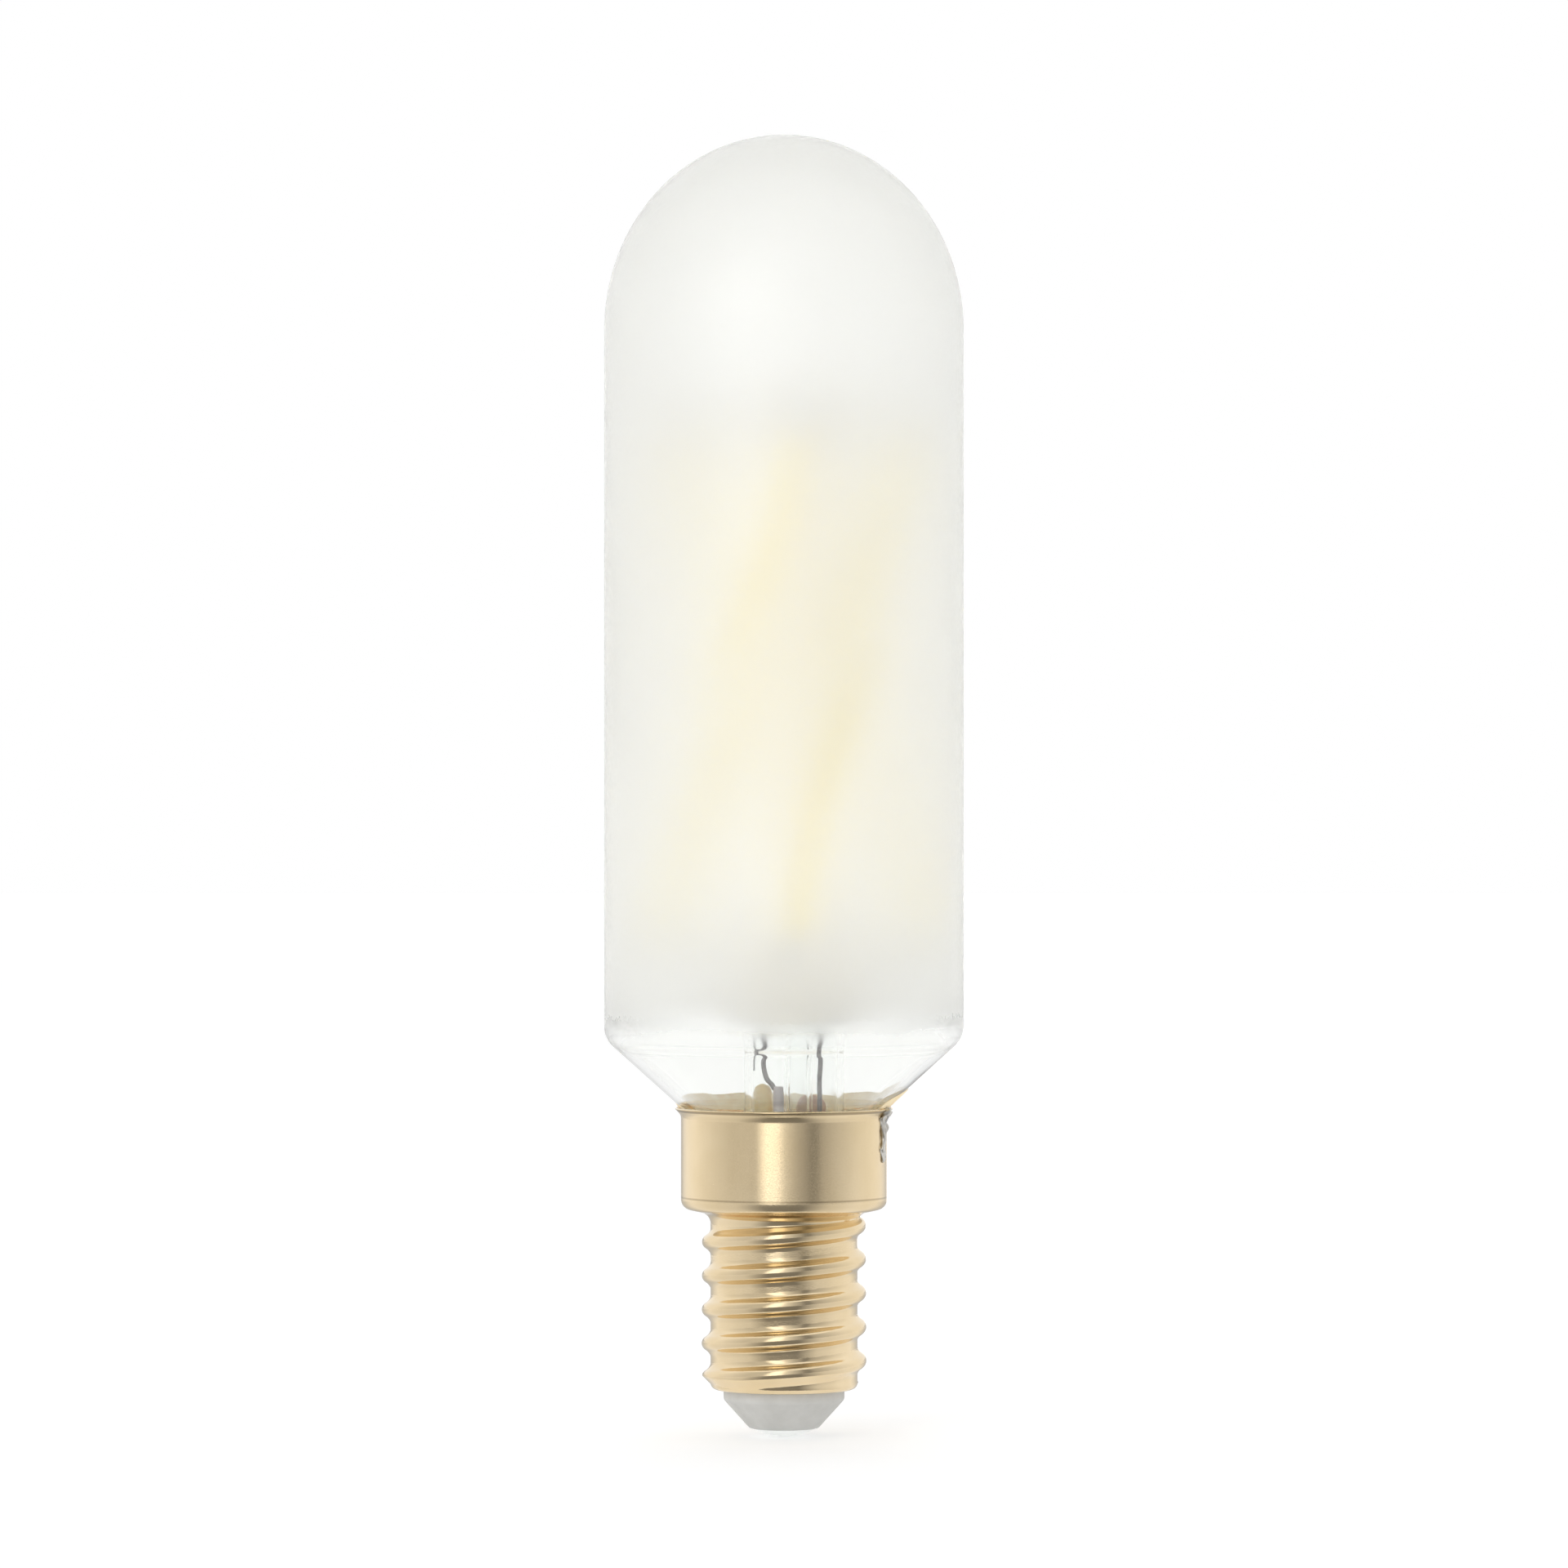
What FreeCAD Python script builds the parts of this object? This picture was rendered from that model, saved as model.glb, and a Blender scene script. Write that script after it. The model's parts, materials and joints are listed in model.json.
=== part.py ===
import FreeCAD, Part
import os
from math import acos, asin, atan2, cos, pi, radians, sin, sqrt, tan

# Tubular frosted lamp with light filaments and a small screw cap. Sizes are in millimetres.
# The lamp stands on its axis, Z, cap down. The origin is the tip of the centre contact, X points to
# the right and Y to the back. The glass mount inside stands a little to the right of the lamp's axis.

Vector = FreeCAD.Vector
axis = Vector(0, 0, 1)
origin = Vector(0, 0, 0)

# Clearances
fit = 0.02                      # between pieces that are cast, fused, welded or soldered together
slip = 0.1                      # between pieces that are pushed together by hand
room = 0.5                      # how far a cutting shape reaches past the piece that it cuts

# Centre contact
contact_radius = 2.7
contact_height = 0.65
contact_shank_radius = 1.1
contact_bore_radius = 0.5
contact_shank_stand = 0.6       # of the shank above the insulator

# Insulator in the foot of the cap
insulator_foot_radius = 2.9
insulator_radius = 5.05
insulator_cone_height = 2.4
insulator_band_height = 0.85
insulator_flange_height = 1.2
insulator_edge_round = 0.25

# Screw shell, drawn from one sheet with its skirt
shell_wall = 0.2
thread_major_diameter = 13.8
thread_minor_diameter = 12.2
thread_pitch = 2.822
thread_valley_trim = 0.04       # flat land at the bottom of the valleys, by its height
thread_crest_height = 1.0       # of the first crest on the left, above the shell's foot
thread_crest_share = 0.4        # of the two arcs that make a side of the thread, the crest's part
thread_draft = 0.2              # degrees by which the thread narrows upwards
thread_fade_height = 0.3        # the thread fades in along a cone that starts here above the foot
thread_fade_sink = 0.14         # of that cone's foot below the valleys
threaded_height = 14.6          # foot of the shell to the shoulder
shell_foot_round = 0.6
shoulder_rise = 0.55
shoulder_cove = 1.0
skirt_radius = 8.6
skirt_height = 8.25             # shoulder to rim
skirt_corner = 0.85
rim_flare = 0.5
rim_flare_height = 0.55
rim_round = 0.6

# Glass envelope
envelope_wall = 0.8
neck_radius = 8.0
neck_depth = 3.7                # of the glass neck below the rim
neck_corner_depth = 0.45        # where the neck meets the cone, below the rim
neck_round = 0.8
cone_angle = 48.0               # from the axis
tube_radius = 15.0
tube_foot_round = 2.2
dome_height = 16.2
crown_gap = 20.4                # between the glass bead and the inside of the crown

# Basing cement between the neck and the skirt
cement_height = 3.0

# Stem: flare, pressed top and pumping tube, all of glass
mount_offset = 0.85             # the stem stands this far to the right of the lamp's axis
stem_radius = 4.15
stem_wall = 0.6
flare_height = 4.6
flare_sweep = 78.0              # how far the flare's wall turns outwards
stem_bore_height = 10.2         # neck seal to the closed end of the bore
press_blend_height = 2.2
press_height = 4.0
press_width = 8.6
press_thickness = 3.0
pump_tube_radius = 1.2
pump_tube_bore = 0.75
pump_tube_shift = 0.35          # to the right of the stem's middle
pump_tube_drop = 3.6            # of its sealed tip below the neck seal
pump_tube_sink = 0.7            # how far the tube is fused into the closed end of the bore
pump_hole_radius = 0.55
rod_radius = 1.0
bead_radius = 1.7

# Wires of the mount
lead_radius = 0.2
left_lead_x = -3.2              # from the stem's middle
right_lead_x = 2.1
lead_stand = 0.9                # above the press
support_radius = 0.28
support_bend = 0.45
weld_length = 1.6               # of a support wire that lies along a tab

# Light filaments
filament_count = 4
filament_length = 42.6
filament_width = 1.5
filament_thickness = 1.1
top_ring_radius = 7.3
bottom_ring_radius = 8.7
twist_angle = 90.0              # from the foot of a filament to its top
tab_length = 2.8
tab_width = 1.0
tab_thickness = 0.25
filament_rise = 1.9             # from the press to the foot of the glowing part
left_filaments = (0, 3)         # the ones that stand on the left lead
right_filaments = (1, 2)

# Circuit board inside the cap
board_width = 9.0
board_thickness = 0.8
board_y = 1.95                  # its front face, behind the lamp's axis
board_corner = 0.5
board_foot_gap = 1.2            # above the insulator
board_top_gap = 1.4             # below the neck seal
wire_radius = 0.2
wire_bend = 0.5
wire_land = 1.3                 # of a wire along the board's face
wire_slope = 1.3                # how far a wire drops while it crosses to the board

# Sleeves on the lead wires, from the lamp's axis
sleeve_radius = 0.45
left_sleeve = (-0.45, -0.55)
right_sleeve = (2.95, -0.75)
left_sleeve_top = 5.9           # above the neck seal
right_sleeve_top = 3.2
sleeve_foot = 0.3               # below the neck seal
left_lead_way = [(-2.35, 0, -0.7), (-1.5, -0.2, -1.0), (-1.75, -0.4, -2.3)]
right_lead_way = [(2.95, 0, -0.9), (3.08, -0.3, -2.7)]
left_land_x = -0.5              # where the leads are soldered to the board
right_land_x = 3.85

# Parts that stand above the board
choke_radius = 0.85
choke_length = 5.4
choke_x = -1.78
choke_y = 0.1
choke_top = 6.1                 # above the neck seal
choke_round = 0.4
choke_pitch = 0.8
disc_radius = 1.45
disc_thickness = 0.75
disc_x = 2.3
disc_top = 5.2                  # above the neck seal
disc_pitch = 1.5

# Parts on the board
capacitor_radius = 3.0
capacitor_length = 9.6
capacitor_x = -1.3
capacitor_foot_gap = 2.85       # above the insulator
capacitor_round = 0.35
capacitor_groove = 0.25         # rolled into the can near its foot
capacitor_groove_height = 1.6
capacitor_seal_radius = 2.5
capacitor_seal_height = 0.7
capacitor_pitch = 2.5
capacitor_leg_drop = 0.7
resistor_radius = 1.0
resistor_waist = 0.15
resistor_length = 6.0
resistor_cap_length = 1.2
resistor_x = 3.9
resistor_y = 0.55
resistor_foot_gap = 3.0
resistor_leg_reach = 0.75
rectifier_width = 4.7
rectifier_height = 4.0
rectifier_top_gap = 1.8         # below the board's top edge
chip_width = 3.9
chip_height = 4.9
chip_foot_gap = 2.4             # above the board's foot
package_thickness = 1.3
package_lean = 0.12             # taper of a moulded package
package_leg_width = 0.4
package_leg_reach = 0.8
package_leg_thickness = 0.2

# Side contact
side_wire_radius = 0.08
side_azimuth = -18.0            # of the soldered wire, from the right towards the front
side_wire_lift = 0.2            # of its bend above the rim
side_wire_drop = 1.2            # of its end below the rim
solder_length = 3.8
solder_radius = 0.55

# Levels that follow
insulator_wide_z = contact_height + insulator_cone_height
shell_foot_z = insulator_wide_z + insulator_band_height
flange_z = shell_foot_z + shell_wall
insulator_top_z = flange_z + insulator_flange_height
shank_top_z = insulator_top_z + contact_shank_stand
shoulder_z = shell_foot_z + threaded_height
skirt_foot_z = shoulder_z + shoulder_rise
rim_z = skirt_foot_z + skirt_height
flare_foot_z = rim_z - rim_flare_height
seal_z = rim_z - neck_depth
stem_foot_z = seal_z + flare_height
bore_end_z = seal_z + stem_bore_height
pump_top_z = bore_end_z + pump_tube_sink
press_z = bore_end_z + press_blend_height
press_top_z = press_z + press_height
lead_top_z = press_top_z + lead_stand
filament_foot_z = press_top_z + filament_rise
filament_climb = sqrt(filament_length ** 2 - top_ring_radius ** 2 - bottom_ring_radius ** 2
                      + 2 * top_ring_radius * bottom_ring_radius * cos(radians(twist_angle)))
filament_top_z = filament_foot_z + filament_climb
bead_z = filament_top_z + tab_length * filament_climb / filament_length
crown_z = bead_z + bead_radius + crown_gap + envelope_wall
dome_z = crown_z - dome_height
board_foot_z = insulator_top_z + board_foot_gap
board_top_z = seal_z - board_top_gap

# Radii and places that follow
root_radius = thread_minor_diameter / 2 + thread_valley_trim
shell_bore_radius = root_radius - shell_wall
skirt_bore_radius = skirt_radius - shell_wall
rim_radius = skirt_radius + rim_flare
lip_hole_radius = insulator_radius + fit
neck_bore_radius = neck_radius - envelope_wall
stem_bore_radius = stem_radius - stem_wall
flare_radius = neck_bore_radius - slip
wire_y = board_y - wire_radius


def line(start, end):
    return Part.LineSegment(start, end).toShape()


# A point of a turned outline, drawn in the XZ plane
def flat(r, z):
    return Vector(r, 0, z)


# A point placed from the stem's own axis
def mounted(x, y, z):
    return Vector(mount_offset + x, y, z)


def bar(radius, low, high, x=0, y=0):
    return Part.makeCylinder(radius, high - low, Vector(x, y, low))


# Straight runs through the points, with a tangent arc of the given radius at each inner point
def rounded(points, radii):
    edges = []
    here = points[0]
    for before, corner, after, wanted in zip(points, points[1:], points[2:], radii):
        come = (corner - before).normalize()
        go = (after - corner).normalize()
        half_turn = acos(max(-1, min(1, come.dot(go)))) / 2
        if wanted <= 0 or half_turn < 1e-4:
            edges.append(line(here, corner))
            here = corner
            continue
        longest = 0.48 * min((corner - before).Length, (after - corner).Length)
        reach = min(wanted * tan(half_turn), longest)
        radius = reach / tan(half_turn)
        first = corner - come * reach
        last = corner + go * reach
        middle = corner + (go - come).normalize() * (radius / cos(half_turn) - radius)
        edges.append(line(here, first))
        edges.append(Part.Arc(first, middle, last).toShape())
        here = last
    edges.append(line(here, points[-1]))
    return edges


# A turned outline from corners (r, z, rounding), where the two ends have no rounding
def outline(corners):
    return rounded([flat(r, z) for r, z, _ in corners], [corner[2] for corner in corners[1:-1]])


# The same outline, moved to the left of its run, with each rounding grown or shrunk to match
def parallel(corners, gap):
    points = [flat(r, z) for r, z, _ in corners]
    runs = [(end - start).normalize() for start, end in zip(points, points[1:])]
    sides = [flat(-run.z, run.x) for run in runs]
    moved = [(points[0] + sides[0] * gap, 0)]
    for point, before, after, corner in zip(points[1:], sides, sides[1:], corners[1:]):
        bends_left = before.x * after.z - before.z * after.x > 0
        rounding = corner[2] - gap if bends_left else corner[2] + gap
        moved.append((point + (before + after) * (gap / (1 + before.dot(after))), max(rounding, 0)))
    moved.append((points[-1] + sides[-1] * gap, 0))
    return [(point.x, point.z, rounding) for point, rounding in moved]


# Solid of revolution about Z of a closed outline
def turned(edges):
    return Part.Face(Part.Wire(Part.__sortEdges__(edges))).revolve(origin, axis, 360)


# The same of an open outline, closed by flat ends at the axis
def turned_to_axis(edges):
    start = edges[0].valueAt(edges[0].FirstParameter)
    end = edges[-1].valueAt(edges[-1].LastParameter)
    low = flat(0, start.z)
    high = flat(0, end.z)
    closing = [line(high, low)]
    if start.x > fit:
        closing.append(line(low, start))
    if end.x > fit:
        closing.append(line(end, high))
    return turned(edges + closing)


# Round wire along straight runs and tangent bends
def bent_wire(points, radius, bend):
    path = Part.Wire(rounded(points, [bend] * (len(points) - 2)))
    start = (points[1] - points[0]).normalize()
    section = Part.Wire(Part.Circle(points[0], start, radius).toShape())
    return path.makePipeShell([section], True, False)


# One rolled thread with round crests and round valleys, moved into the sheet by inset
def thread_ridge(inset):
    half_pitch = thread_pitch / 2
    depth = (thread_major_diameter - thread_minor_diameter) / 2
    both_arcs = (depth ** 2 + half_pitch ** 2) / (2 * depth)
    crest = both_arcs * thread_crest_share - inset
    valley = both_arcs - crest
    crest_centre = thread_major_diameter / 2 - inset - crest
    valley_centre = crest_centre + both_arcs - depth
    lean = atan2(half_pitch, both_arcs - depth)
    floor_angle = acos((valley_centre - root_radius + inset) / valley)

    def on_valley(angle, side):
        return flat(valley_centre - valley * cos(angle), side * (half_pitch - valley * sin(angle)))

    top = on_valley(floor_angle, 1)
    foot = on_valley(floor_angle, -1)
    back = flat(top.x - room, top.z)
    front = flat(foot.x - room, foot.z)
    profile = Part.Wire([
        Part.Arc(foot, on_valley((lean + floor_angle) / 2, -1), on_valley(lean, -1)).toShape(),
        Part.Arc(on_valley(lean, -1), flat(crest_centre + crest, 0), on_valley(lean, 1)).toShape(),
        Part.Arc(on_valley(lean, 1), on_valley((lean + floor_angle) / 2, 1), top).toShape(),
        line(top, back),
        line(back, front),
        line(front, foot),
    ])
    start_z = shell_foot_z + thread_crest_height - thread_pitch
    height = skirt_foot_z + half_pitch - start_z
    helix = Part.Wire(Part.makeLongHelix(thread_pitch, height, crest_centre, -thread_draft))
    ridge = helix.makePipeShell([profile], True, True)
    ridge.rotate(origin, axis, 180)
    ridge.translate(Vector(0, 0, start_z))
    return ridge


# Outside of the shell's sheet, without its thread, from the foot to the rim
def sheet():
    return [
        (0, shell_foot_z, 0),
        (root_radius, shell_foot_z, shell_foot_round),
        (root_radius, shoulder_z, shoulder_cove),
        (skirt_radius, skirt_foot_z, skirt_corner),
        (skirt_radius, flare_foot_z, rim_round),
        (rim_radius, rim_z, 0),
    ]


# Space at the shell's foot that stays free of thread, with a cone for its top
def thread_free_foot(inset):
    low_z = shell_foot_z - 2 * thread_pitch
    fade_z = shell_foot_z + thread_fade_height
    fade_radius = root_radius - thread_fade_sink
    edge = [
        (0, low_z, 0),
        (rim_radius, low_z, 0),
        (rim_radius, fade_z + rim_radius - fade_radius, 0),
        (fade_radius, fade_z, 0),
        (0, fade_z, 0),
    ]
    return turned_to_axis(outline(parallel(edge, -inset)))


# The sheet's outline as a solid, moved into the sheet by inset, with its thread
def shell_body(inset):
    ridge = thread_ridge(inset).cut(thread_free_foot(inset))
    return turned_to_axis(outline(parallel(sheet(), inset))).fuse(ridge)


# Thin drawn shell of one even wall: foot lip, rolled thread, shoulder, skirt and flared rim
def screw_shell():
    lip_hole = bar(lip_hole_radius, shell_foot_z - room, flange_z + room)
    above_rim = bar(rim_radius + room, rim_z, rim_z + rim_flare)
    return shell_body(0).cut(shell_body(shell_wall)).cut(lip_hole).cut(above_rim)


# Domed rivet with a hollow shank that the centre wire is soldered into
def centre_contact():
    dome_radius = (contact_radius ** 2 + contact_height ** 2) / (2 * contact_height)
    half_slope = asin(contact_radius / dome_radius) / 2
    bow = flat(dome_radius * sin(half_slope), dome_radius * (1 - cos(half_slope)))
    rivet = turned([
        Part.Arc(flat(0, 0), bow, flat(contact_radius, contact_height)).toShape(),
        line(flat(contact_radius, contact_height), flat(contact_shank_radius, contact_height)),
        line(flat(contact_shank_radius, contact_height), flat(contact_shank_radius, shank_top_z)),
        line(flat(contact_shank_radius, shank_top_z), flat(0, shank_top_z)),
        line(flat(0, shank_top_z), flat(0, 0)),
    ])
    return rivet.cut(bar(contact_bore_radius, contact_height, shank_top_z + room))


# Moulded plug: conical foot, round band, and a flange that sits on the shell's inner lip
def insulator():
    flange_radius = shell_bore_radius - slip
    chamfer = shell_foot_round / 2
    plug = turned_to_axis(outline([
        (0, contact_height + fit, 0),
        (insulator_foot_radius, contact_height + fit, insulator_edge_round),
        (insulator_radius, insulator_wide_z, 2 * insulator_edge_round),
        (insulator_radius, flange_z + fit, 0),
        (flange_radius - chamfer, flange_z + fit, 0),
        (flange_radius, flange_z + fit + chamfer, 0),
        (flange_radius, insulator_top_z, insulator_edge_round),
        (0, insulator_top_z, 0),
    ]))
    return plug.cut(bar(contact_shank_radius + fit, 0, shank_top_z))


# Outside of the neck, the cone and the tube, up to where the dome starts
def envelope_side():
    corner_z = rim_z - neck_corner_depth
    cone_height = (tube_radius - neck_radius) / tan(radians(cone_angle))
    return [
        (neck_radius, seal_z + fit, 0),
        (neck_radius, corner_z, neck_round),
        (tube_radius, corner_z + cone_height, tube_foot_round),
        (tube_radius, dome_z, 0),
    ]


# The side with its dome, a quarter of an ellipse, as a solid moved inwards by inset
def envelope_body(inset):
    side = outline(parallel(envelope_side(), inset))
    across = tube_radius - inset
    rise = dome_height - inset
    centre = flat(0, dome_z)
    shorter, longer = sorted((flat(across, dome_z), flat(0, dome_z + rise)), key=centre.distanceToPoint)
    ellipse = Part.Ellipse(longer, shorter, centre)
    first, last = sorted(ellipse.parameter(point) for point in (flat(across, dome_z), flat(0, crown_z - inset)))
    if last - first > pi:
        first, last = last, first + 2 * pi
    dome = ellipse.toBSpline(first, last).toShape()
    foot_z = seal_z + fit
    return turned(side + [
        dome,
        line(flat(0, crown_z - inset), flat(0, foot_z)),
        line(flat(0, foot_z), flat(neck_radius - inset, foot_z)),
    ])


# Blown tube with a domed crown, a conical shoulder and a short neck, open at its foot
def glass_envelope():
    return envelope_body(0).cut(envelope_body(envelope_wall))


# Cement ring between the neck and the skirt, with a groove for the side wire
def basing_cement():
    ring = turned_to_axis(outline(parallel(sheet(), shell_wall + fit)))
    band = bar(rim_radius, rim_z - cement_height, rim_z - rim_flare_height / 2)
    neck = turned_to_axis(outline(parallel(envelope_side(), -fit)))
    return ring.common(band).cut(neck).cut(side_wire(fit))


# Trumpet under the stem: round sections that widen and drift to the lamp's axis on the way down
def trumpet(inset):
    sections = []
    sweep = radians(flare_sweep)
    steps = 6
    for step in range(steps + 1):
        angle = sweep * step / steps
        widen = (1 - cos(angle)) / (1 - cos(sweep))
        drop = sin(angle) / sin(sweep)
        radius = stem_radius + (flare_radius - stem_radius) * widen - inset
        centre = Vector(mount_offset * (1 - widen), 0, stem_foot_z - (flare_height + inset) * drop)
        sections.append(Part.Wire(Part.Circle(centre, axis, radius).toShape()))
    return Part.makeLoft(sections, True, False)


# Flat oval of the pressed glass
def press_outline(z):
    end = press_thickness / 2
    straight = press_width / 2 - end
    a, b = mounted(straight, -end, z), mounted(straight, end, z)
    c, d = mounted(-straight, end, z), mounted(-straight, -end, z)
    return Part.Wire([
        Part.Arc(a, mounted(press_width / 2, 0, z), b).toShape(),
        line(b, c),
        Part.Arc(c, mounted(-press_width / 2, 0, z), d).toShape(),
        line(d, a),
    ])


# Round top of the stem tube, as four arcs that match the sides of the flat oval
def press_base(z):
    lean = radians(55)
    turns = [-lean, 0, lean, pi / 2, pi - lean, pi, pi + lean, 3 * pi / 2]
    ring = [mounted(stem_radius * cos(turn), stem_radius * sin(turn), z) for turn in turns]
    ring.append(ring[0])
    return Part.Wire([Part.Arc(*ring[first:first + 3]).toShape() for first in (0, 2, 4, 6)])


# Glass tube, flared to the neck at its foot and pressed flat round the leads at its top
def stem_flare():
    pump_x = mount_offset + pump_tube_shift
    outside = trumpet(0)
    outside = outside.fuse(bar(neck_radius, seal_z - stem_wall, seal_z))
    outside = outside.fuse(bar(stem_radius, stem_foot_z, bore_end_z, mount_offset))
    inside = trumpet(stem_wall)
    inside = inside.fuse(bar(stem_bore_radius, stem_foot_z, bore_end_z, mount_offset))
    blend = Part.makeLoft([press_base(bore_end_z), press_outline(press_z)], True, True)
    press = Part.Face(press_outline(press_z)).extrude(Vector(0, 0, press_height))
    glass = outside.cut(inside).fuse(blend).fuse(press)
    glass = glass.cut(bar(pump_tube_radius + fit, bore_end_z - room, pump_top_z + fit, pump_x))
    glass = glass.cut(bar(pump_tube_bore, pump_top_z, pump_top_z + 2 * pump_hole_radius, pump_x))
    outlet_foot = Vector(pump_x, 0, pump_top_z + pump_hole_radius)
    glass = glass.cut(Part.makeCylinder(pump_hole_radius, stem_radius, outlet_foot, Vector(0, 1, 0)))
    for lead_x in (left_lead_x, right_lead_x):
        hole_x = mount_offset + lead_x
        glass = glass.cut(bar(lead_radius + fit, bore_end_z - room, press_top_z + room, hole_x))
    return glass


# Pumping tube: open at its top inside the press, melted shut to a rounded point at its foot
def exhaust_tube():
    tip_z = seal_z - pump_tube_drop
    shut_z = tip_z + 1.6 * pump_tube_radius
    tube = turned_to_axis(outline([
        (0, tip_z, 0),
        (pump_tube_radius / 2, tip_z, pump_tube_radius / 3),
        (pump_tube_radius, shut_z, pump_tube_radius),
        (pump_tube_radius, pump_top_z, 0),
    ]))
    bore = bar(pump_tube_bore, shut_z, pump_top_z + room)
    bore = bore.fuse(Part.makeSphere(pump_tube_bore, flat(0, shut_z)))
    tube = tube.cut(bore)
    tube.translate(flat(mount_offset + pump_tube_shift, 0))
    return tube


# Glass rod from the press up to a round bead that holds the two top wires
def centre_rod():
    rod = bar(rod_radius, press_top_z, bead_z, mount_offset)
    rod = rod.fuse(Part.makeSphere(bead_radius, mounted(0, 0, bead_z)))
    for pair in range(filament_count // 2):
        rod = rod.cut(top_support(pair, fit))
    return rod


# Foot, top, direction, outward normal and width direction of one filament
def filament_frame(number):
    top_azimuth = radians(360 / filament_count * number)
    foot_azimuth = top_azimuth - radians(twist_angle)
    top = mounted(top_ring_radius * cos(top_azimuth), top_ring_radius * sin(top_azimuth), filament_top_z)
    foot = mounted(bottom_ring_radius * cos(foot_azimuth), bottom_ring_radius * sin(foot_azimuth),
                   filament_foot_z)
    along = (top - foot).normalize()
    middle = (top + foot) * 0.5 - mounted(0, 0, (filament_top_z + filament_foot_z) / 2)
    outward = (middle - along * middle.dot(along)).normalize()
    return foot, top, along, outward, outward.cross(along)


# Phosphor-coated strip, oval in section
def filament(number):
    foot, top, along, outward, across = filament_frame(number)
    half = filament_thickness / 2
    straight = filament_width / 2 - half
    a, b = [foot + across * straight + outward * side for side in (-half, half)]
    c, d = [foot - across * straight + outward * side for side in (half, -half)]
    section = Part.Wire([
        Part.Arc(a, foot + across * (filament_width / 2), b).toShape(),
        line(b, c),
        Part.Arc(c, foot - across * (filament_width / 2), d).toShape(),
        line(d, a),
    ])
    return Part.Face(section).extrude(top - foot)


# Root and direction of the metal end of a filament
def tab_frame(number, upper):
    foot, top, along, outward, across = filament_frame(number)
    if upper:
        return top, along, outward, across
    return foot, along * -1, outward, across


# Metal end of a filament: a flat strip with a round tip
def filament_tab(number, upper):
    root, reach, outward, across = tab_frame(number, upper)
    start = root + reach * fit - outward * (tab_thickness / 2)
    half = tab_width / 2
    end = start + reach * (tab_length - half)
    strip = Part.Wire([
        line(start - across * half, start + across * half),
        line(start + across * half, end + across * half),
        Part.Arc(end + across * half, end + reach * half, end - across * half).toShape(),
        line(end - across * half, start - across * half),
    ])
    return Part.Face(strip).extrude(outward * tab_thickness)


# Where a support wire turns beside the tip of a tab, and where it ends along the tab
def weld_points(number, upper):
    root, reach, outward, across = tab_frame(number, upper)
    inner = root - outward * (tab_thickness / 2 + support_radius + fit)
    return inner + reach * tab_length, inner + reach * (tab_length - weld_length)


# Staple through the glass bead, with each end bent down along the upper tab of a filament
def top_support(pair, grown=0):
    near = weld_points(pair, True)
    far = weld_points(pair + filament_count // 2, True)
    lift = flat(0, (support_radius + 2 * fit) * (1 if pair else -1))
    points = [near[1], near[0], far[0], far[1]]
    return bent_wire([point + lift for point in points], support_radius + grown, support_bend)


# Wire across the top of a lead, with each end bent up along the lower tab of a filament
def lower_support(lead_x, numbers, grown=0):
    near, far = [weld_points(number, False) for number in numbers]
    crossing = mounted(lead_x, 0, lead_top_z + support_radius)
    return bent_wire([near[1], near[0], crossing, far[0], far[1]], support_radius + grown, support_bend)


# Lead from the press down through the stem and its sleeve to the board's face
def lead_wire(lead_x, numbers, way, sleeve, board_x):
    points = [mounted(lead_x, 0, lead_top_z)]
    points += [Vector(x, y, bore_end_z + z) for x, y, z in way]
    points += [
        Vector(*sleeve, way[-1][2] + bore_end_z - wire_slope),
        Vector(*sleeve, seal_z - 2 * sleeve_foot),
        Vector(board_x, wire_y, seal_z - 2 * sleeve_foot - wire_slope),
        Vector(board_x, wire_y, seal_z - 2 * sleeve_foot - wire_slope - wire_land),
    ]
    return bent_wire(points, lead_radius, wire_bend).cut(lower_support(lead_x, numbers, fit))


# Soft insulating sleeve over a lead
def lead_sleeve(sleeve, top):
    tube = bar(sleeve_radius, seal_z - sleeve_foot, seal_z + top, *sleeve)
    return tube.cut(bar(lead_radius + fit, 0, crown_z, *sleeve))


def circuit_board():
    corner = Vector(-board_width / 2, board_y, board_foot_z)
    board = Part.makeBox(board_width, board_thickness, board_top_z - board_foot_z, corner)
    edges = [edge for edge in board.Edges if abs(edge.tangentAt(edge.FirstParameter).y) > 0.5]
    return board.makeFillet(board_corner, edges)


# Wire from the foot of a part down and across to the board, then along the board's face
def board_leg(x, y, top_z, knee_z, board_x):
    return bent_wire([
        Vector(x, y, top_z - fit),
        Vector(x, y, knee_z),
        Vector(board_x, wire_y, knee_z - wire_slope),
        Vector(board_x, wire_y, knee_z - wire_slope - wire_land),
    ], wire_radius, wire_bend)


# Wire that comes out of a part upwards or downwards and turns back into the board's face
def hooked_leg(x, y, root_z, reach):
    return bent_wire([
        Vector(x, y, root_z + (fit if reach > 0 else -fit)),
        Vector(x, y, root_z + reach),
        Vector(x, board_y - fit, root_z + reach),
    ], wire_radius, wire_bend)


# Small wound choke in a dipped coat, round at both ends
def choke():
    top_z = seal_z + choke_top
    coat = turned_to_axis(outline([
        (0, top_z - choke_length, 0),
        (choke_radius, top_z - choke_length, choke_round),
        (choke_radius, top_z, choke_round),
        (0, top_z, 0),
    ]))
    coat.translate(Vector(choke_x, choke_y, 0))
    return coat


def disc_z():
    return seal_z + disc_top - disc_radius


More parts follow.
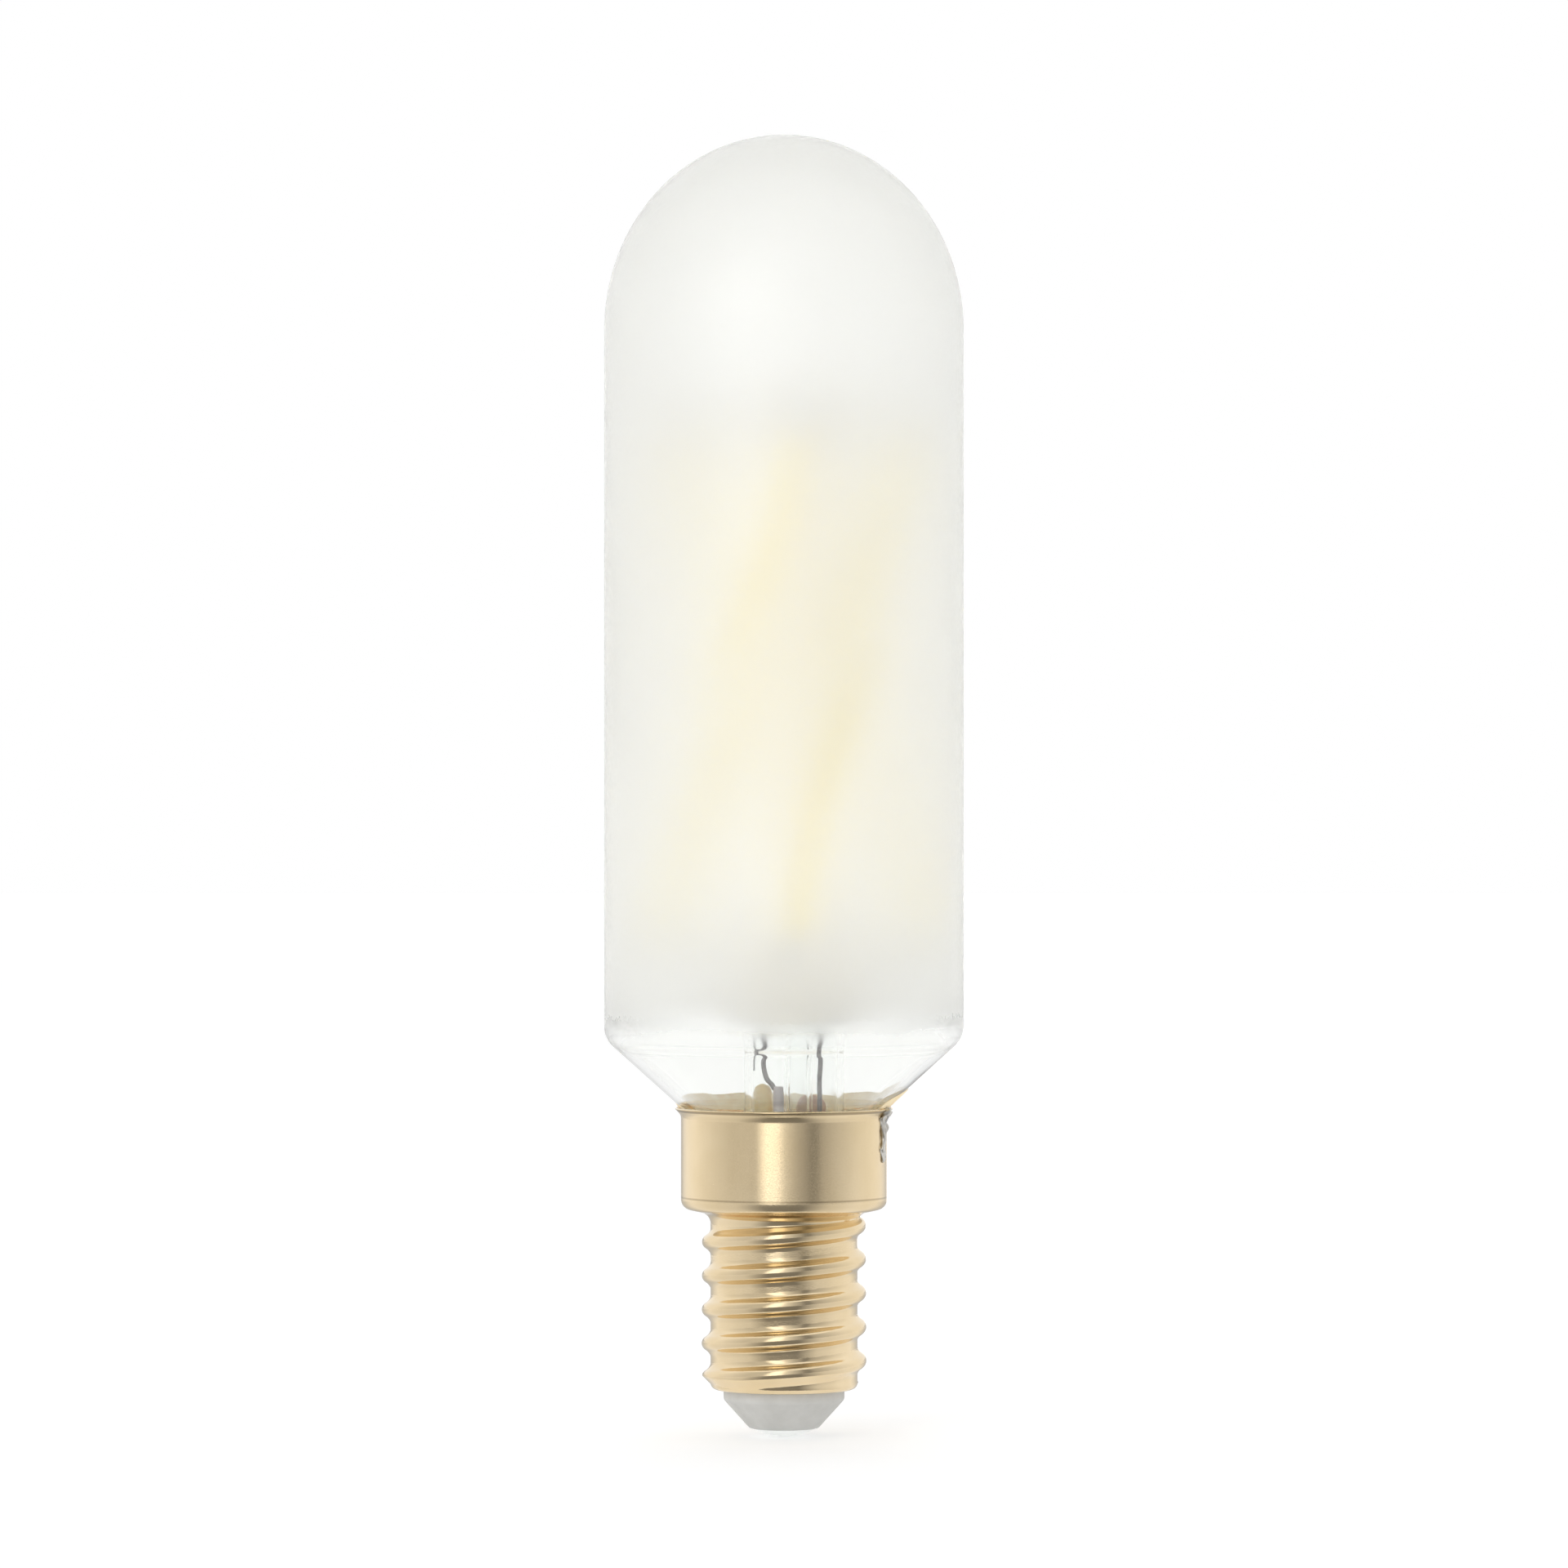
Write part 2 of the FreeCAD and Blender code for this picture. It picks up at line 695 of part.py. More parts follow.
# Dipped ceramic capacitor: a thin disc with a rounded edge
def ceramic_capacitor(grown=0):
    edge = disc_thickness / 2 + grown
    coat = turned_to_axis(outline([
        (0, -edge, 0),
        (disc_radius + grown, -edge, edge * 0.9),
        (disc_radius + grown, edge, edge * 0.9),
        (0, edge, 0),
    ]))
    coat.rotate(origin, Vector(1, 0, 0), 90)
    coat.translate(Vector(disc_x, wire_y, disc_z()))
    return coat


def ceramic_capacitor_leg(side):
    leg = bar(wire_radius, board_top_z - wire_land, disc_z(), disc_x + side * disc_pitch / 2, wire_y)
    return leg.cut(ceramic_capacitor(fit))


def capacitor_place():
    return capacitor_x, board_y - slip - capacitor_radius, insulator_top_z + capacitor_foot_gap


# Drawn can of the smoothing capacitor, with a groove rolled in above its seal
def capacitor_can():
    x, y, foot_z = capacitor_place()
    neck_z = foot_z + capacitor_groove_height
    top_z = foot_z + capacitor_length
    neck = capacitor_radius - capacitor_groove
    can = turned_to_axis(outline([
        (0, foot_z, 0),
        (capacitor_radius, foot_z, capacitor_round),
        (capacitor_radius, neck_z - 2 * capacitor_groove, capacitor_groove),
        (neck, neck_z, capacitor_groove),
        (capacitor_radius, neck_z + 2 * capacitor_groove, capacitor_groove),
        (capacitor_radius, top_z, capacitor_round),
        (0, top_z, 0),
    ]))
    can = can.cut(bar(capacitor_seal_radius, foot_z - room, foot_z + capacitor_seal_height))
    can.translate(Vector(x, y, 0))
    return can


# Rubber bung in the foot of the can, with a hole for each leg
def capacitor_seal():
    x, y, foot_z = capacitor_place()
    low, high = foot_z + fit, foot_z + capacitor_seal_height - fit
    bung = bar(capacitor_seal_radius - fit, low, high, x, y)
    for side in (-1, 1):
        bung = bung.cut(bar(wire_radius + fit, low - room, high + room, x + side * capacitor_pitch / 2, y))
    return bung


def capacitor_leg(side):
    x, y, foot_z = capacitor_place()
    root_z = foot_z + capacitor_seal_height
    return hooked_leg(x + side * capacitor_pitch / 2, y, root_z, -capacitor_seal_height - capacitor_leg_drop)


def resistor_foot_z():
    return insulator_top_z + resistor_foot_gap


# Fusible resistor: a dipped body, thicker over the caps at its two ends
def fusible_resistor():
    foot_z = resistor_foot_z()
    top_z = foot_z + resistor_length
    waist = resistor_radius - resistor_waist
    body = turned_to_axis(outline([
        (0, foot_z, 0),
        (resistor_radius, foot_z, resistor_radius / 2),
        (resistor_radius, foot_z + resistor_cap_length, resistor_waist),
        (waist, foot_z + resistor_cap_length + 2 * resistor_waist, resistor_waist),
        (waist, top_z - resistor_cap_length - 2 * resistor_waist, resistor_waist),
        (resistor_radius, top_z - resistor_cap_length, resistor_waist),
        (resistor_radius, top_z, resistor_radius / 2),
        (0, top_z, 0),
    ]))
    body.translate(Vector(resistor_x, resistor_y, 0))
    return body


# Moulded package on the back of the board, with two flat legs at each side bent down to the board
def package(width, height, foot_z):
    back = board_y + board_thickness
    face = back + package_leg_thickness + fit
    sections = []
    for y, lean in ((face, 0), (face + package_thickness, package_lean)):
        x = width / 2 - lean
        ring = [Vector(-x, y, foot_z + lean), Vector(x, y, foot_z + lean),
                Vector(x, y, foot_z + height - lean), Vector(-x, y, foot_z + height - lean)]
        sections.append(Part.makePolygon(ring + ring[:1]))
    body = Part.makeLoft(sections, True, True)
    leg_y = face + package_thickness / 2
    knee_x = width / 2 + package_leg_reach
    for level in (foot_z + height / 4, foot_z + height * 3 / 4):
        foot = level - package_leg_width / 2
        strip = Part.makeBox(2 * knee_x, package_leg_thickness, package_leg_width,
                             Vector(-knee_x, leg_y, foot))
        body = body.fuse(strip)
        for left in (-knee_x, knee_x - package_leg_thickness):
            drop = Part.makeBox(package_leg_thickness, leg_y - back - fit, package_leg_width,
                                Vector(left, back + fit, foot))
            body = body.fuse(drop)
    return body


# Wire from the centre contact's shank up and back to the board's foot
def contact_wire():
    level = shank_top_z + wire_bend + wire_radius
    return bent_wire([
        Vector(0, 0, contact_height + fit),
        Vector(0, 0, level),
        Vector(0, board_y - fit, level),
    ], wire_radius, wire_bend)


# A point beside the cap, by its distance from the lamp's axis, in the plane of the side wire
def at_side(r, z):
    turn = radians(side_azimuth)
    return Vector(r * cos(turn), r * sin(turn), z)


# Wire from the board up between the neck and the skirt and over the rim
def side_wire(grown=0):
    board_x = board_width / 2 - 2 * wire_radius
    gap_radius = (neck_radius + skirt_bore_radius) / 2
    start_z = board_top_z - 2 * wire_land
    cone_slope = tan(radians(cone_angle))
    cone_gap = (side_wire_radius + 2 * fit) / cos(radians(cone_angle))
    corner_z = rim_z - neck_corner_depth
    lift_z = rim_z + side_wire_lift
    return bent_wire([
        Vector(board_x, board_y - side_wire_radius - fit, start_z - wire_land),
        Vector(board_x, board_y - side_wire_radius - fit, start_z),
        at_side(gap_radius, seal_z - stem_wall - wire_bend),
        at_side(gap_radius, corner_z + (gap_radius - neck_radius - cone_gap) / cone_slope),
        at_side(neck_radius + cone_gap + (lift_z - corner_z) * cone_slope, lift_z),
        at_side(rim_radius + side_wire_lift, lift_z),
        at_side(rim_radius + side_wire_lift, rim_z - side_wire_lift),
        at_side(skirt_radius + side_wire_lift, rim_z - side_wire_drop),
    ], side_wire_radius + grown, side_wire_lift)


# Run of solder on the outside of the skirt, over the end of the side wire
def side_solder():
    half = solder_length / 2
    middle_z = rim_z - half
    tip = flat(0, middle_z + half)
    ellipse = Part.Ellipse(tip, flat(solder_radius, middle_z), flat(0, middle_z))
    sides = [Part.ArcOfEllipse(ellipse, first, first + pi).toShape() for first in (0, pi)]
    side = max(sides, key=lambda edge: edge.CenterOfMass.x)
    drop = turned([side, line(tip, flat(0, middle_z - half))])
    drop.translate(at_side(skirt_radius, 0))
    shell = turned_to_axis(outline(parallel(sheet(), -fit)))
    pieces = drop.cut(shell).cut(side_wire(fit)).Solids
    return max(pieces, key=lambda piece: piece.Volume)


os.makedirs("parts", exist_ok=True)
parts = {
    "screw_shell": screw_shell(),
    "centre_contact": centre_contact(),
    "insulator": insulator(),
    "contact_wire": contact_wire(),
    "glass_envelope": glass_envelope(),
    "basing_cement": basing_cement(),
    "stem_flare": stem_flare(),
    "exhaust_tube": exhaust_tube(),
    "centre_rod": centre_rod(),
    "lower_support_left": lower_support(left_lead_x, left_filaments),
    "lower_support_right": lower_support(right_lead_x, right_filaments),
    "lead_wire_left": lead_wire(left_lead_x, left_filaments, left_lead_way, left_sleeve, left_land_x),
    "lead_wire_right": lead_wire(right_lead_x, right_filaments, right_lead_way, right_sleeve, right_land_x),
    "lead_sleeve_left": lead_sleeve(left_sleeve, left_sleeve_top),
    "lead_sleeve_right": lead_sleeve(right_sleeve, right_sleeve_top),
    "circuit_board": circuit_board(),
    "choke": choke(),
    "ceramic_capacitor": ceramic_capacitor(),
    "capacitor_can": capacitor_can(),
    "capacitor_seal": capacitor_seal(),
    "fusible_resistor": fusible_resistor(),
    "resistor_leg_upper": hooked_leg(resistor_x, resistor_y, resistor_foot_z() + resistor_length,
                                     resistor_leg_reach),
    "resistor_leg_lower": hooked_leg(resistor_x, resistor_y, resistor_foot_z(), -resistor_leg_reach),
    "bridge_rectifier": package(rectifier_width, rectifier_height,
                                board_top_z - rectifier_top_gap - rectifier_height),
    "driver_chip": package(chip_width, chip_height, board_foot_z + chip_foot_gap),
    "side_wire": side_wire(),
    "side_solder": side_solder(),
}
for number in range(filament_count):
    parts[f"filament_{number + 1}"] = filament(number)
    parts[f"filament_{number + 1}_tab_upper"] = filament_tab(number, True)
    parts[f"filament_{number + 1}_tab_lower"] = filament_tab(number, False)
for pair in range(filament_count // 2):
    parts[f"top_support_{pair + 1}"] = top_support(pair)
for side, place in ((-1, "left"), (1, "right")):
    x = choke_x + side * choke_pitch / 2
    parts[f"choke_leg_{place}"] = board_leg(x, choke_y, seal_z + choke_top - choke_length,
                                            seal_z - sleeve_foot, x - 2 * wire_radius)
    parts[f"ceramic_capacitor_leg_{place}"] = ceramic_capacitor_leg(side)
    parts[f"capacitor_leg_{place}"] = capacitor_leg(side)

for name, shape in parts.items():
    solid, = shape.Solids
    print(name, solid.isValid(), round(solid.Volume, 3))
    solid.exportStep(f"parts/{name}.step")
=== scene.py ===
import json
import math

import bmesh
import bpy
import numpy as np
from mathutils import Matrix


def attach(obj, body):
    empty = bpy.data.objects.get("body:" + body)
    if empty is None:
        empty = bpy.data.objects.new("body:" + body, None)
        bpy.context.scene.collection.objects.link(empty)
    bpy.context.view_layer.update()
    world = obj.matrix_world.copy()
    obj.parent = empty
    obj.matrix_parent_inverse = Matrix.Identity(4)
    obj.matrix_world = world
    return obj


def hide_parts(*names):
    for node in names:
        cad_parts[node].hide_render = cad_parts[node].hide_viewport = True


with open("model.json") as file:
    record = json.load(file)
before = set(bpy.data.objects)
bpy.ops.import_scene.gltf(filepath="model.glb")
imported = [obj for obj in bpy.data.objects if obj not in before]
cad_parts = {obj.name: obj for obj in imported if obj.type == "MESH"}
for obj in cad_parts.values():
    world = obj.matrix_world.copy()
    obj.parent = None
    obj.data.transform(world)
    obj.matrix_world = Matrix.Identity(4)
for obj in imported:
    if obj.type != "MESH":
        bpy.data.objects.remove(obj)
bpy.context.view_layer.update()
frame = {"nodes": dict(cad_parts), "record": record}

# Tubular frosted lamp on a small brass screw cap. Lengths in the settings are millimetres from the
# tip of the centre contact; every mesh is written in metres.
mm = 0.001
white = (1.0, 1.0, 1.0, 1.0)
nodes = frame["nodes"]


# Quads of a grid of points (row i, column j): corners (i, j), (i, j+1), (i+1, j+1), (i+1, j).
# The last column joins the first where the grid closes round.
def gridQuads(rows, columns, closed):
    i = np.arange(rows - 1)[:, None]
    j = np.arange(columns if closed else columns - 1)[None, :]
    k = (j + 1) % columns
    quads = np.stack([i * columns + j, i * columns + k, (i + 1) * columns + k, (i + 1) * columns + j], -1)
    return quads.reshape(-1, 4)


# One mesh object from several grids in millimetres, each (points, closed round, number of its coat).
# Points that meet are joined, and an edge that bends more than the crease angle stays sharp.
def makePiece(name, grids, coats, crease=40.0):
    points, quads, shades = [], [], []
    start = 0
    for grid, closed, shade in grids:
        rows, columns = grid.shape[:2]
        points.append(grid.reshape(-1, 3) * mm)
        faces = gridQuads(rows, columns, closed) + start
        quads.append(faces)
        shades.append(np.full(len(faces), shade))
        start += rows * columns
    mesh = bpy.data.meshes.new(name)
    mesh.from_pydata(np.concatenate(points).tolist(), [], np.concatenate(quads).tolist())
    mesh.polygons.foreach_set("material_index", np.concatenate(shades).astype(np.int32))
    work = bmesh.new()
    work.from_mesh(mesh)
    bmesh.ops.remove_doubles(work, verts=work.verts, dist=0.0008 * mm)
    bmesh.ops.dissolve_degenerate(work, edges=work.edges, dist=0.0004 * mm)
    work.to_mesh(mesh)
    work.free()
    mesh.shade_smooth()
    mesh.set_sharp_from_angle(angle=math.radians(crease))
    piece = bpy.data.objects.new(name, mesh)
    bpy.context.scene.collection.objects.link(piece)
    for coat in coats:
        mesh.materials.append(coat)
    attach(piece, "root")
    return piece


# Profile (r, z) from corners (r, z, rounding): straight runs joined by arcs that touch both runs.
# With half turn a and rounding q, the arc starts q*tan(a) before the corner and ends q*tan(a) after it.
def roundedProfile(corners, arcPoints=10):
    places = np.array([corner[:2] for corner in corners], float)
    out = [places[:1]]
    for before, corner, after, item in zip(places, places[1:], places[2:], corners[1:]):
        rounding = item[2]
        come = (corner - before) / np.linalg.norm(corner - before)
        go = (after - corner) / np.linalg.norm(after - corner)
        halfTurn = math.acos(max(-1.0, min(1.0, float(come @ go)))) / 2
        if rounding <= 0 or halfTurn < 1e-4:
            out.append(corner[None])
            continue
        longest = 0.48 * min(np.linalg.norm(corner - before), np.linalg.norm(after - corner))
        reach = min(rounding * math.tan(halfTurn), longest)
        radius = reach / math.tan(halfTurn)
        inward = (go - come) / np.linalg.norm(go - come)
        centre = corner + inward * (radius / math.cos(halfTurn))
        swing = np.linspace(-halfTurn, halfTurn, arcPoints)[:, None]
        across = (go + come) / np.linalg.norm(go + come)
        out.append(centre + radius * (np.sin(swing) * across - np.cos(swing) * inward))
    out.append(places[-1:])
    return np.concatenate(out)


# Same profile with points at even steps of its own length
def evenly(profile, count):
    run = np.concatenate([[0], np.cumsum(np.linalg.norm(np.diff(profile, axis=0), axis=1))])
    wanted = np.linspace(0, run[-1], count)
    return np.stack([np.interp(wanted, run, profile[:, axis]) for axis in range(profile.shape[1])], -1)


# Surface of revolution: (r cos t, r sin t, z), with t round the lamp's axis
def turnedGrid(profile, columns=128, x=0.0, y=0.0):
    t = np.arange(columns) * (2 * math.pi / columns)
    r, z = profile[:, :1], profile[:, 1:2]
    return np.stack([x + r * np.cos(t), y + r * np.sin(t), z + 0 * t], -1)


# Smooth line through points: Catmull-Rom, the cubic whose slope at a point is half of the step
# from the point before it to the point after it
def smoothPath(points, count):
    places = np.asarray(points, float)
    places = np.concatenate([2 * places[:1] - places[1:2], places, 2 * places[-1:] - places[-2:-1]])
    t = np.linspace(0, len(points) - 1, count)
    first = np.minimum(t.astype(int), len(points) - 2)
    u = (t - first)[:, None]
    a, b, c, d = (places[first + step] for step in range(4))
    square, cube = 2 * a - 5 * b + 4 * c - d, 3 * b - a - 3 * c + d
    return 0.5 * (2 * b + (c - a) * u + square * u ** 2 + cube * u ** 3)


# Round wire: circle of radius r carried along a path, in the plane of the side and lift directions
# side = run x reference, lift = side x run; r falls to nothing at both ends so that they close
def wireGrid(path, radius, reference=(0.0, 1.0, 0.0), columns=14):
    run = np.gradient(path, axis=0)
    run /= np.linalg.norm(run, axis=1)[:, None]
    side = np.cross(run, np.array(reference))
    side /= np.linalg.norm(side, axis=1)[:, None]
    lift = np.cross(side, run)
    path = np.concatenate([path[:1], path, path[-1:]])
    side = np.concatenate([side[:1], side, side[-1:]])
    lift = np.concatenate([lift[:1], lift, lift[-1:]])
    size = np.full(len(path), radius)
    size[[0, -1]] = 0
    t = -np.arange(columns) * (2 * math.pi / columns)
    circle = np.cos(t)[None, :, None] * side[:, None] + np.sin(t)[None, :, None] * lift[:, None]
    return path[:, None] + circle * size[:, None, None]


# Soft lumps from a few sine waves of fixed seed: sum of sin(k . p + phase) / count
def lumps(points, size, seed, waves=7):
    dice = np.random.default_rng(seed)
    directions = dice.normal(size=(waves, 3)) * (2 * math.pi / size) * 0.5
    phases = dice.uniform(0, 2 * math.pi, waves)
    return np.sin(points @ directions.T + phases).mean(-1)


# Material with one shader, whose inputs take the values given by name
def newMaterial(name, **values):
    material = bpy.data.materials.new(name)
    material.use_nodes = True
    tree = material.node_tree
    shader = tree.nodes["Principled BSDF"]
    for socket, value in values.items():
        shader.inputs[socket.replace("_", " ")].default_value = value
    return material, tree, shader


# Node of a kind: each value goes to the node's own setting of that name, or else to its input
def addNode(tree, kind, **values):
    node = tree.nodes.new(kind)
    for name, value in values.items():
        if hasattr(node, name):
            setattr(node, name, value)
        else:
            node.inputs[name.replace("_", " ")].default_value = value
    return node


# One sum on outputs of nodes or plain numbers
def reckon(tree, operation, *terms):
    step = addNode(tree, "ShaderNodeMath", operation=operation)
    for socket, term in zip(step.inputs, terms):
        if isinstance(term, bpy.types.NodeSocket):
            tree.links.new(term, socket)
        else:
            socket.default_value = term
    return step.outputs[0]


# The object's own coordinates as X, Y and Z
def placeOf(tree):
    place = tree.nodes.new("ShaderNodeTexCoord")
    parts = tree.nodes.new("ShaderNodeSeparateXYZ")
    tree.links.new(place.outputs["Object"], parts.inputs["Vector"])
    return parts.outputs


# Noise on the object's own coordinates, in features per millimetre, stretched along z by a factor
def noiseOf(tree, perMm, stretch=1.0, detail=3.0, rough=0.55):
    place = tree.nodes.new("ShaderNodeTexCoord")
    mapping = tree.nodes.new("ShaderNodeMapping")
    mapping.inputs["Scale"].default_value = (1, 1, stretch)
    noise = addNode(tree, "ShaderNodeTexNoise", Scale=perMm / mm, Detail=detail, Roughness=rough)
    tree.links.new(place.outputs["Object"], mapping.inputs["Vector"])
    tree.links.new(mapping.outputs["Vector"], noise.inputs["Vector"])
    return noise.outputs["Fac"]


# Map of a factor onto low..high between two of its values, straight or eased at both ends
def spread(tree, factor, start, end, low, high, smooth=False):
    kind = "SMOOTHSTEP" if smooth else "LINEAR"
    ramp = addNode(tree, "ShaderNodeMapRange", interpolation_type=kind)
    for socket, value in (("From Min", start), ("From Max", end), ("To Min", low), ("To Max", high)):
        ramp.inputs[socket].default_value = value
    tree.links.new(factor, ramp.inputs["Value"])
    return ramp.outputs["Result"]


# Colour that follows a factor through stops of (place, colour)
def colours(tree, factor, stops):
    ramp = tree.nodes.new("ShaderNodeValToRGB")
    band = ramp.color_ramp
    while len(band.elements) < len(stops):
        band.elements.new(0.5)
    for element, (place, colour) in zip(band.elements, stops):
        element.position = place
        element.color = (*colour, 1.0)
    tree.links.new(factor, ramp.inputs["Fac"])
    return ramp.outputs["Color"]


# Relief in the shading from a height between 0 and 1, as deep as the depth in millimetres
def addBump(tree, shader, height, strength, depth):
    bump = addNode(tree, "ShaderNodeBump", Strength=strength, Distance=depth * mm)
    tree.links.new(height, bump.inputs["Height"])
    tree.links.new(bump.outputs["Normal"], shader.inputs["Normal"])


# Plain finish with grain: two colours mixed by a coarse noise, roughness and bump by a fine one. A glow
# above nothing gives back, in the finish's own colour, the light that its neighbours would bounce on it.
def grainFinish(name, dark, light, perMm, roughness, finePerMm, bumpDepth, metallic=0.0, glow=0.0):
    material, tree, shader = newMaterial(name, Metallic=metallic, Emission_Strength=glow)
    coarse = noiseOf(tree, perMm)
    fine = noiseOf(tree, finePerMm, 1.0, 2.0)
    tint = colours(tree, coarse, [(0.3, dark), (0.7, light)])
    tree.links.new(tint, shader.inputs["Base Color"])
    tree.links.new(tint, shader.inputs["Emission Color"])
    tree.links.new(spread(tree, fine, 0.3, 0.7, *roughness), shader.inputs["Roughness"])
    addBump(tree, shader, fine, 0.6, bumpDepth)
    return material


# The glow values set a painted glow on the frosted wall
glassFinish = {"colour": (0.981, 0.988, 0.977), "frostColour": (0.9990, 0.9995, 0.990), "frostFoot": 34.6,
               "frostSoft": 2.2, "unevenLine": 1.6, "clearRoughness": 0.015, "roughnessDrift": 0.05,
               "innerRoughness": 0.80, "innerThrough": 0.90, "outerRoughness": 0.40,
               "paintedPowderGlow": (0.088, 0.056), "glowBetween": (38.0, 62.0), "glowColour": (0.99, 1.0, 0.90),
               "wave": 0.12}


# Clear glass, nearly colourless in the neck, with a painted warm tint above it for the light of the
# strips shining through it
def clearGlass(name, roughness, low, high, between, wave):
    material, tree, shader = newMaterial(name, Transmission_Weight=1.0, IOR=1.5, Roughness=roughness)
    # The warm colour above the neck is painted light of the strips
    warm = spread(tree, placeOf(tree)["Z"], between[0] * mm, between[1] * mm, 0, 1, True)
    tree.links.new(colours(tree, warm, [(0.0, low), (1.0, high)]), shader.inputs["Base Color"])
    addBump(tree, shader, noiseOf(tree, 0.35, 0.4, 1.0), 0.35, wave)
    return material


# Wall of the envelope: clear below the shoulder, satin or powder-frosted above a soft uneven line. The
# powder has a painted glow for the light of the strips, stronger near their feet, and is a little wavy.
def frostedWall(name, frostedRoughness, frostedThrough, glow=(0, 0)):
    look = glassFinish
    material, tree, shader = newMaterial(name, IOR=1.5, Emission_Color=(*look["glowColour"], 1.0))
    height = placeOf(tree)["Z"]
    uneven = reckon(tree, "MULTIPLY_ADD", noiseOf(tree, 0.12, 1.0, 2.0), look["unevenLine"] * mm, height)
    foot = (look["frostFoot"] + look["unevenLine"] / 2) * mm
    soft = look["frostSoft"] * mm
    frost = spread(tree, uneven, foot - soft, foot + soft, 0, 1, True)
    drift = look["roughnessDrift"]
    powder = spread(tree, noiseOf(tree, 2.2, 1.0, 3.0), 0.35, 0.65, frostedRoughness - drift,
                    frostedRoughness + drift)
    roughness = addNode(tree, "ShaderNodeMix", data_type="FLOAT")
    roughness.inputs["A"].default_value = look["clearRoughness"]
    tree.links.new(frost, roughness.inputs["Factor"])
    tree.links.new(powder, roughness.inputs["B"])
    tree.links.new(roughness.outputs["Result"], shader.inputs["Roughness"])
    through = spread(tree, frost, 0, 1, 1.0, frostedThrough)
    tree.links.new(through, shader.inputs["Transmission Weight"])
    tint = colours(tree, frost, [(0.0, look["colour"]), (1.0, look["frostColour"])])
    tree.links.new(tint, shader.inputs["Base Color"])
    # Painted glow on the frosted powder, stronger low down and weaker higher up
    between = look["glowBetween"]
    power = spread(tree, height, between[0] * mm, between[1] * mm, *glow)
    tree.links.new(reckon(tree, "MULTIPLY", power, frost), shader.inputs["Emission Strength"])
    if glow[0] > 0:
        addBump(tree, shader, noiseOf(tree, 0.16, 0.7, 1.5), 0.5, look["wave"])
    return material


# Lines round the shell, each (z, half height, share, colour): the drawing tool's mark, and painted shade
# under the rim's lip
brassLook = {"dark": (0.79, 0.63, 0.39), "light": (0.87, 0.71, 0.47), "grain": 9.0,
             "roughness": (0.09, 0.22), "bump": 0.004, "burnish": 0.5, "burnishTop": (18.6, 19.2),
             "toolMarkAndLipShade": ((19.95, 0.05, 0.45, (0.24, 0.18, 0.10)), (27.2, 0.07, 0.75, (0.24, 0.18, 0.10)))}


# Lacquered brass: warm colour that drifts a little, fine speckle in its roughness and bump, the tool's
# mark and painted shade under the rim's lip. It is smoother on the thread, which the rollers have
# burnished.
def brassFinish(name):
    look = brassLook
    material, tree, shader = newMaterial(name, Metallic=1.0)
    warm = colours(tree, noiseOf(tree, 0.18, 0.6, 3.0), [(0.3, look["dark"]), (0.7, look["light"])])
    height = placeOf(tree)["Z"]
    # Darker colour on each line; the line under the rim's lip is painted shade
    for z, half, share, colour in look["toolMarkAndLipShade"]:
        gap = reckon(tree, "ABSOLUTE", reckon(tree, "SUBTRACT", height, z * mm))
        onLine = spread(tree, gap, half * mm, 2 * half * mm, share, 0)
        mixed = addNode(tree, "ShaderNodeMix", data_type="RGBA")
        mixed.inputs["B"].default_value = (*colour, 1.0)
        tree.links.new(onLine, mixed.inputs["Factor"])
        tree.links.new(warm, mixed.inputs["A"])
        warm = mixed.outputs["Result"]
    tree.links.new(warm, shader.inputs["Base Color"])
    speckle = noiseOf(tree, look["grain"], 1.0, 2.0, 0.7)
    rough = spread(tree, speckle, 0.35, 0.65, *look["roughness"])
    start, end = look["burnishTop"]
    burnish = spread(tree, height, start * mm, end * mm, look["burnish"], 1.0)
    tree.links.new(reckon(tree, "MULTIPLY", rough, burnish), shader.inputs["Roughness"])
    addBump(tree, shader, speckle, 0.6, look["bump"])
    return material


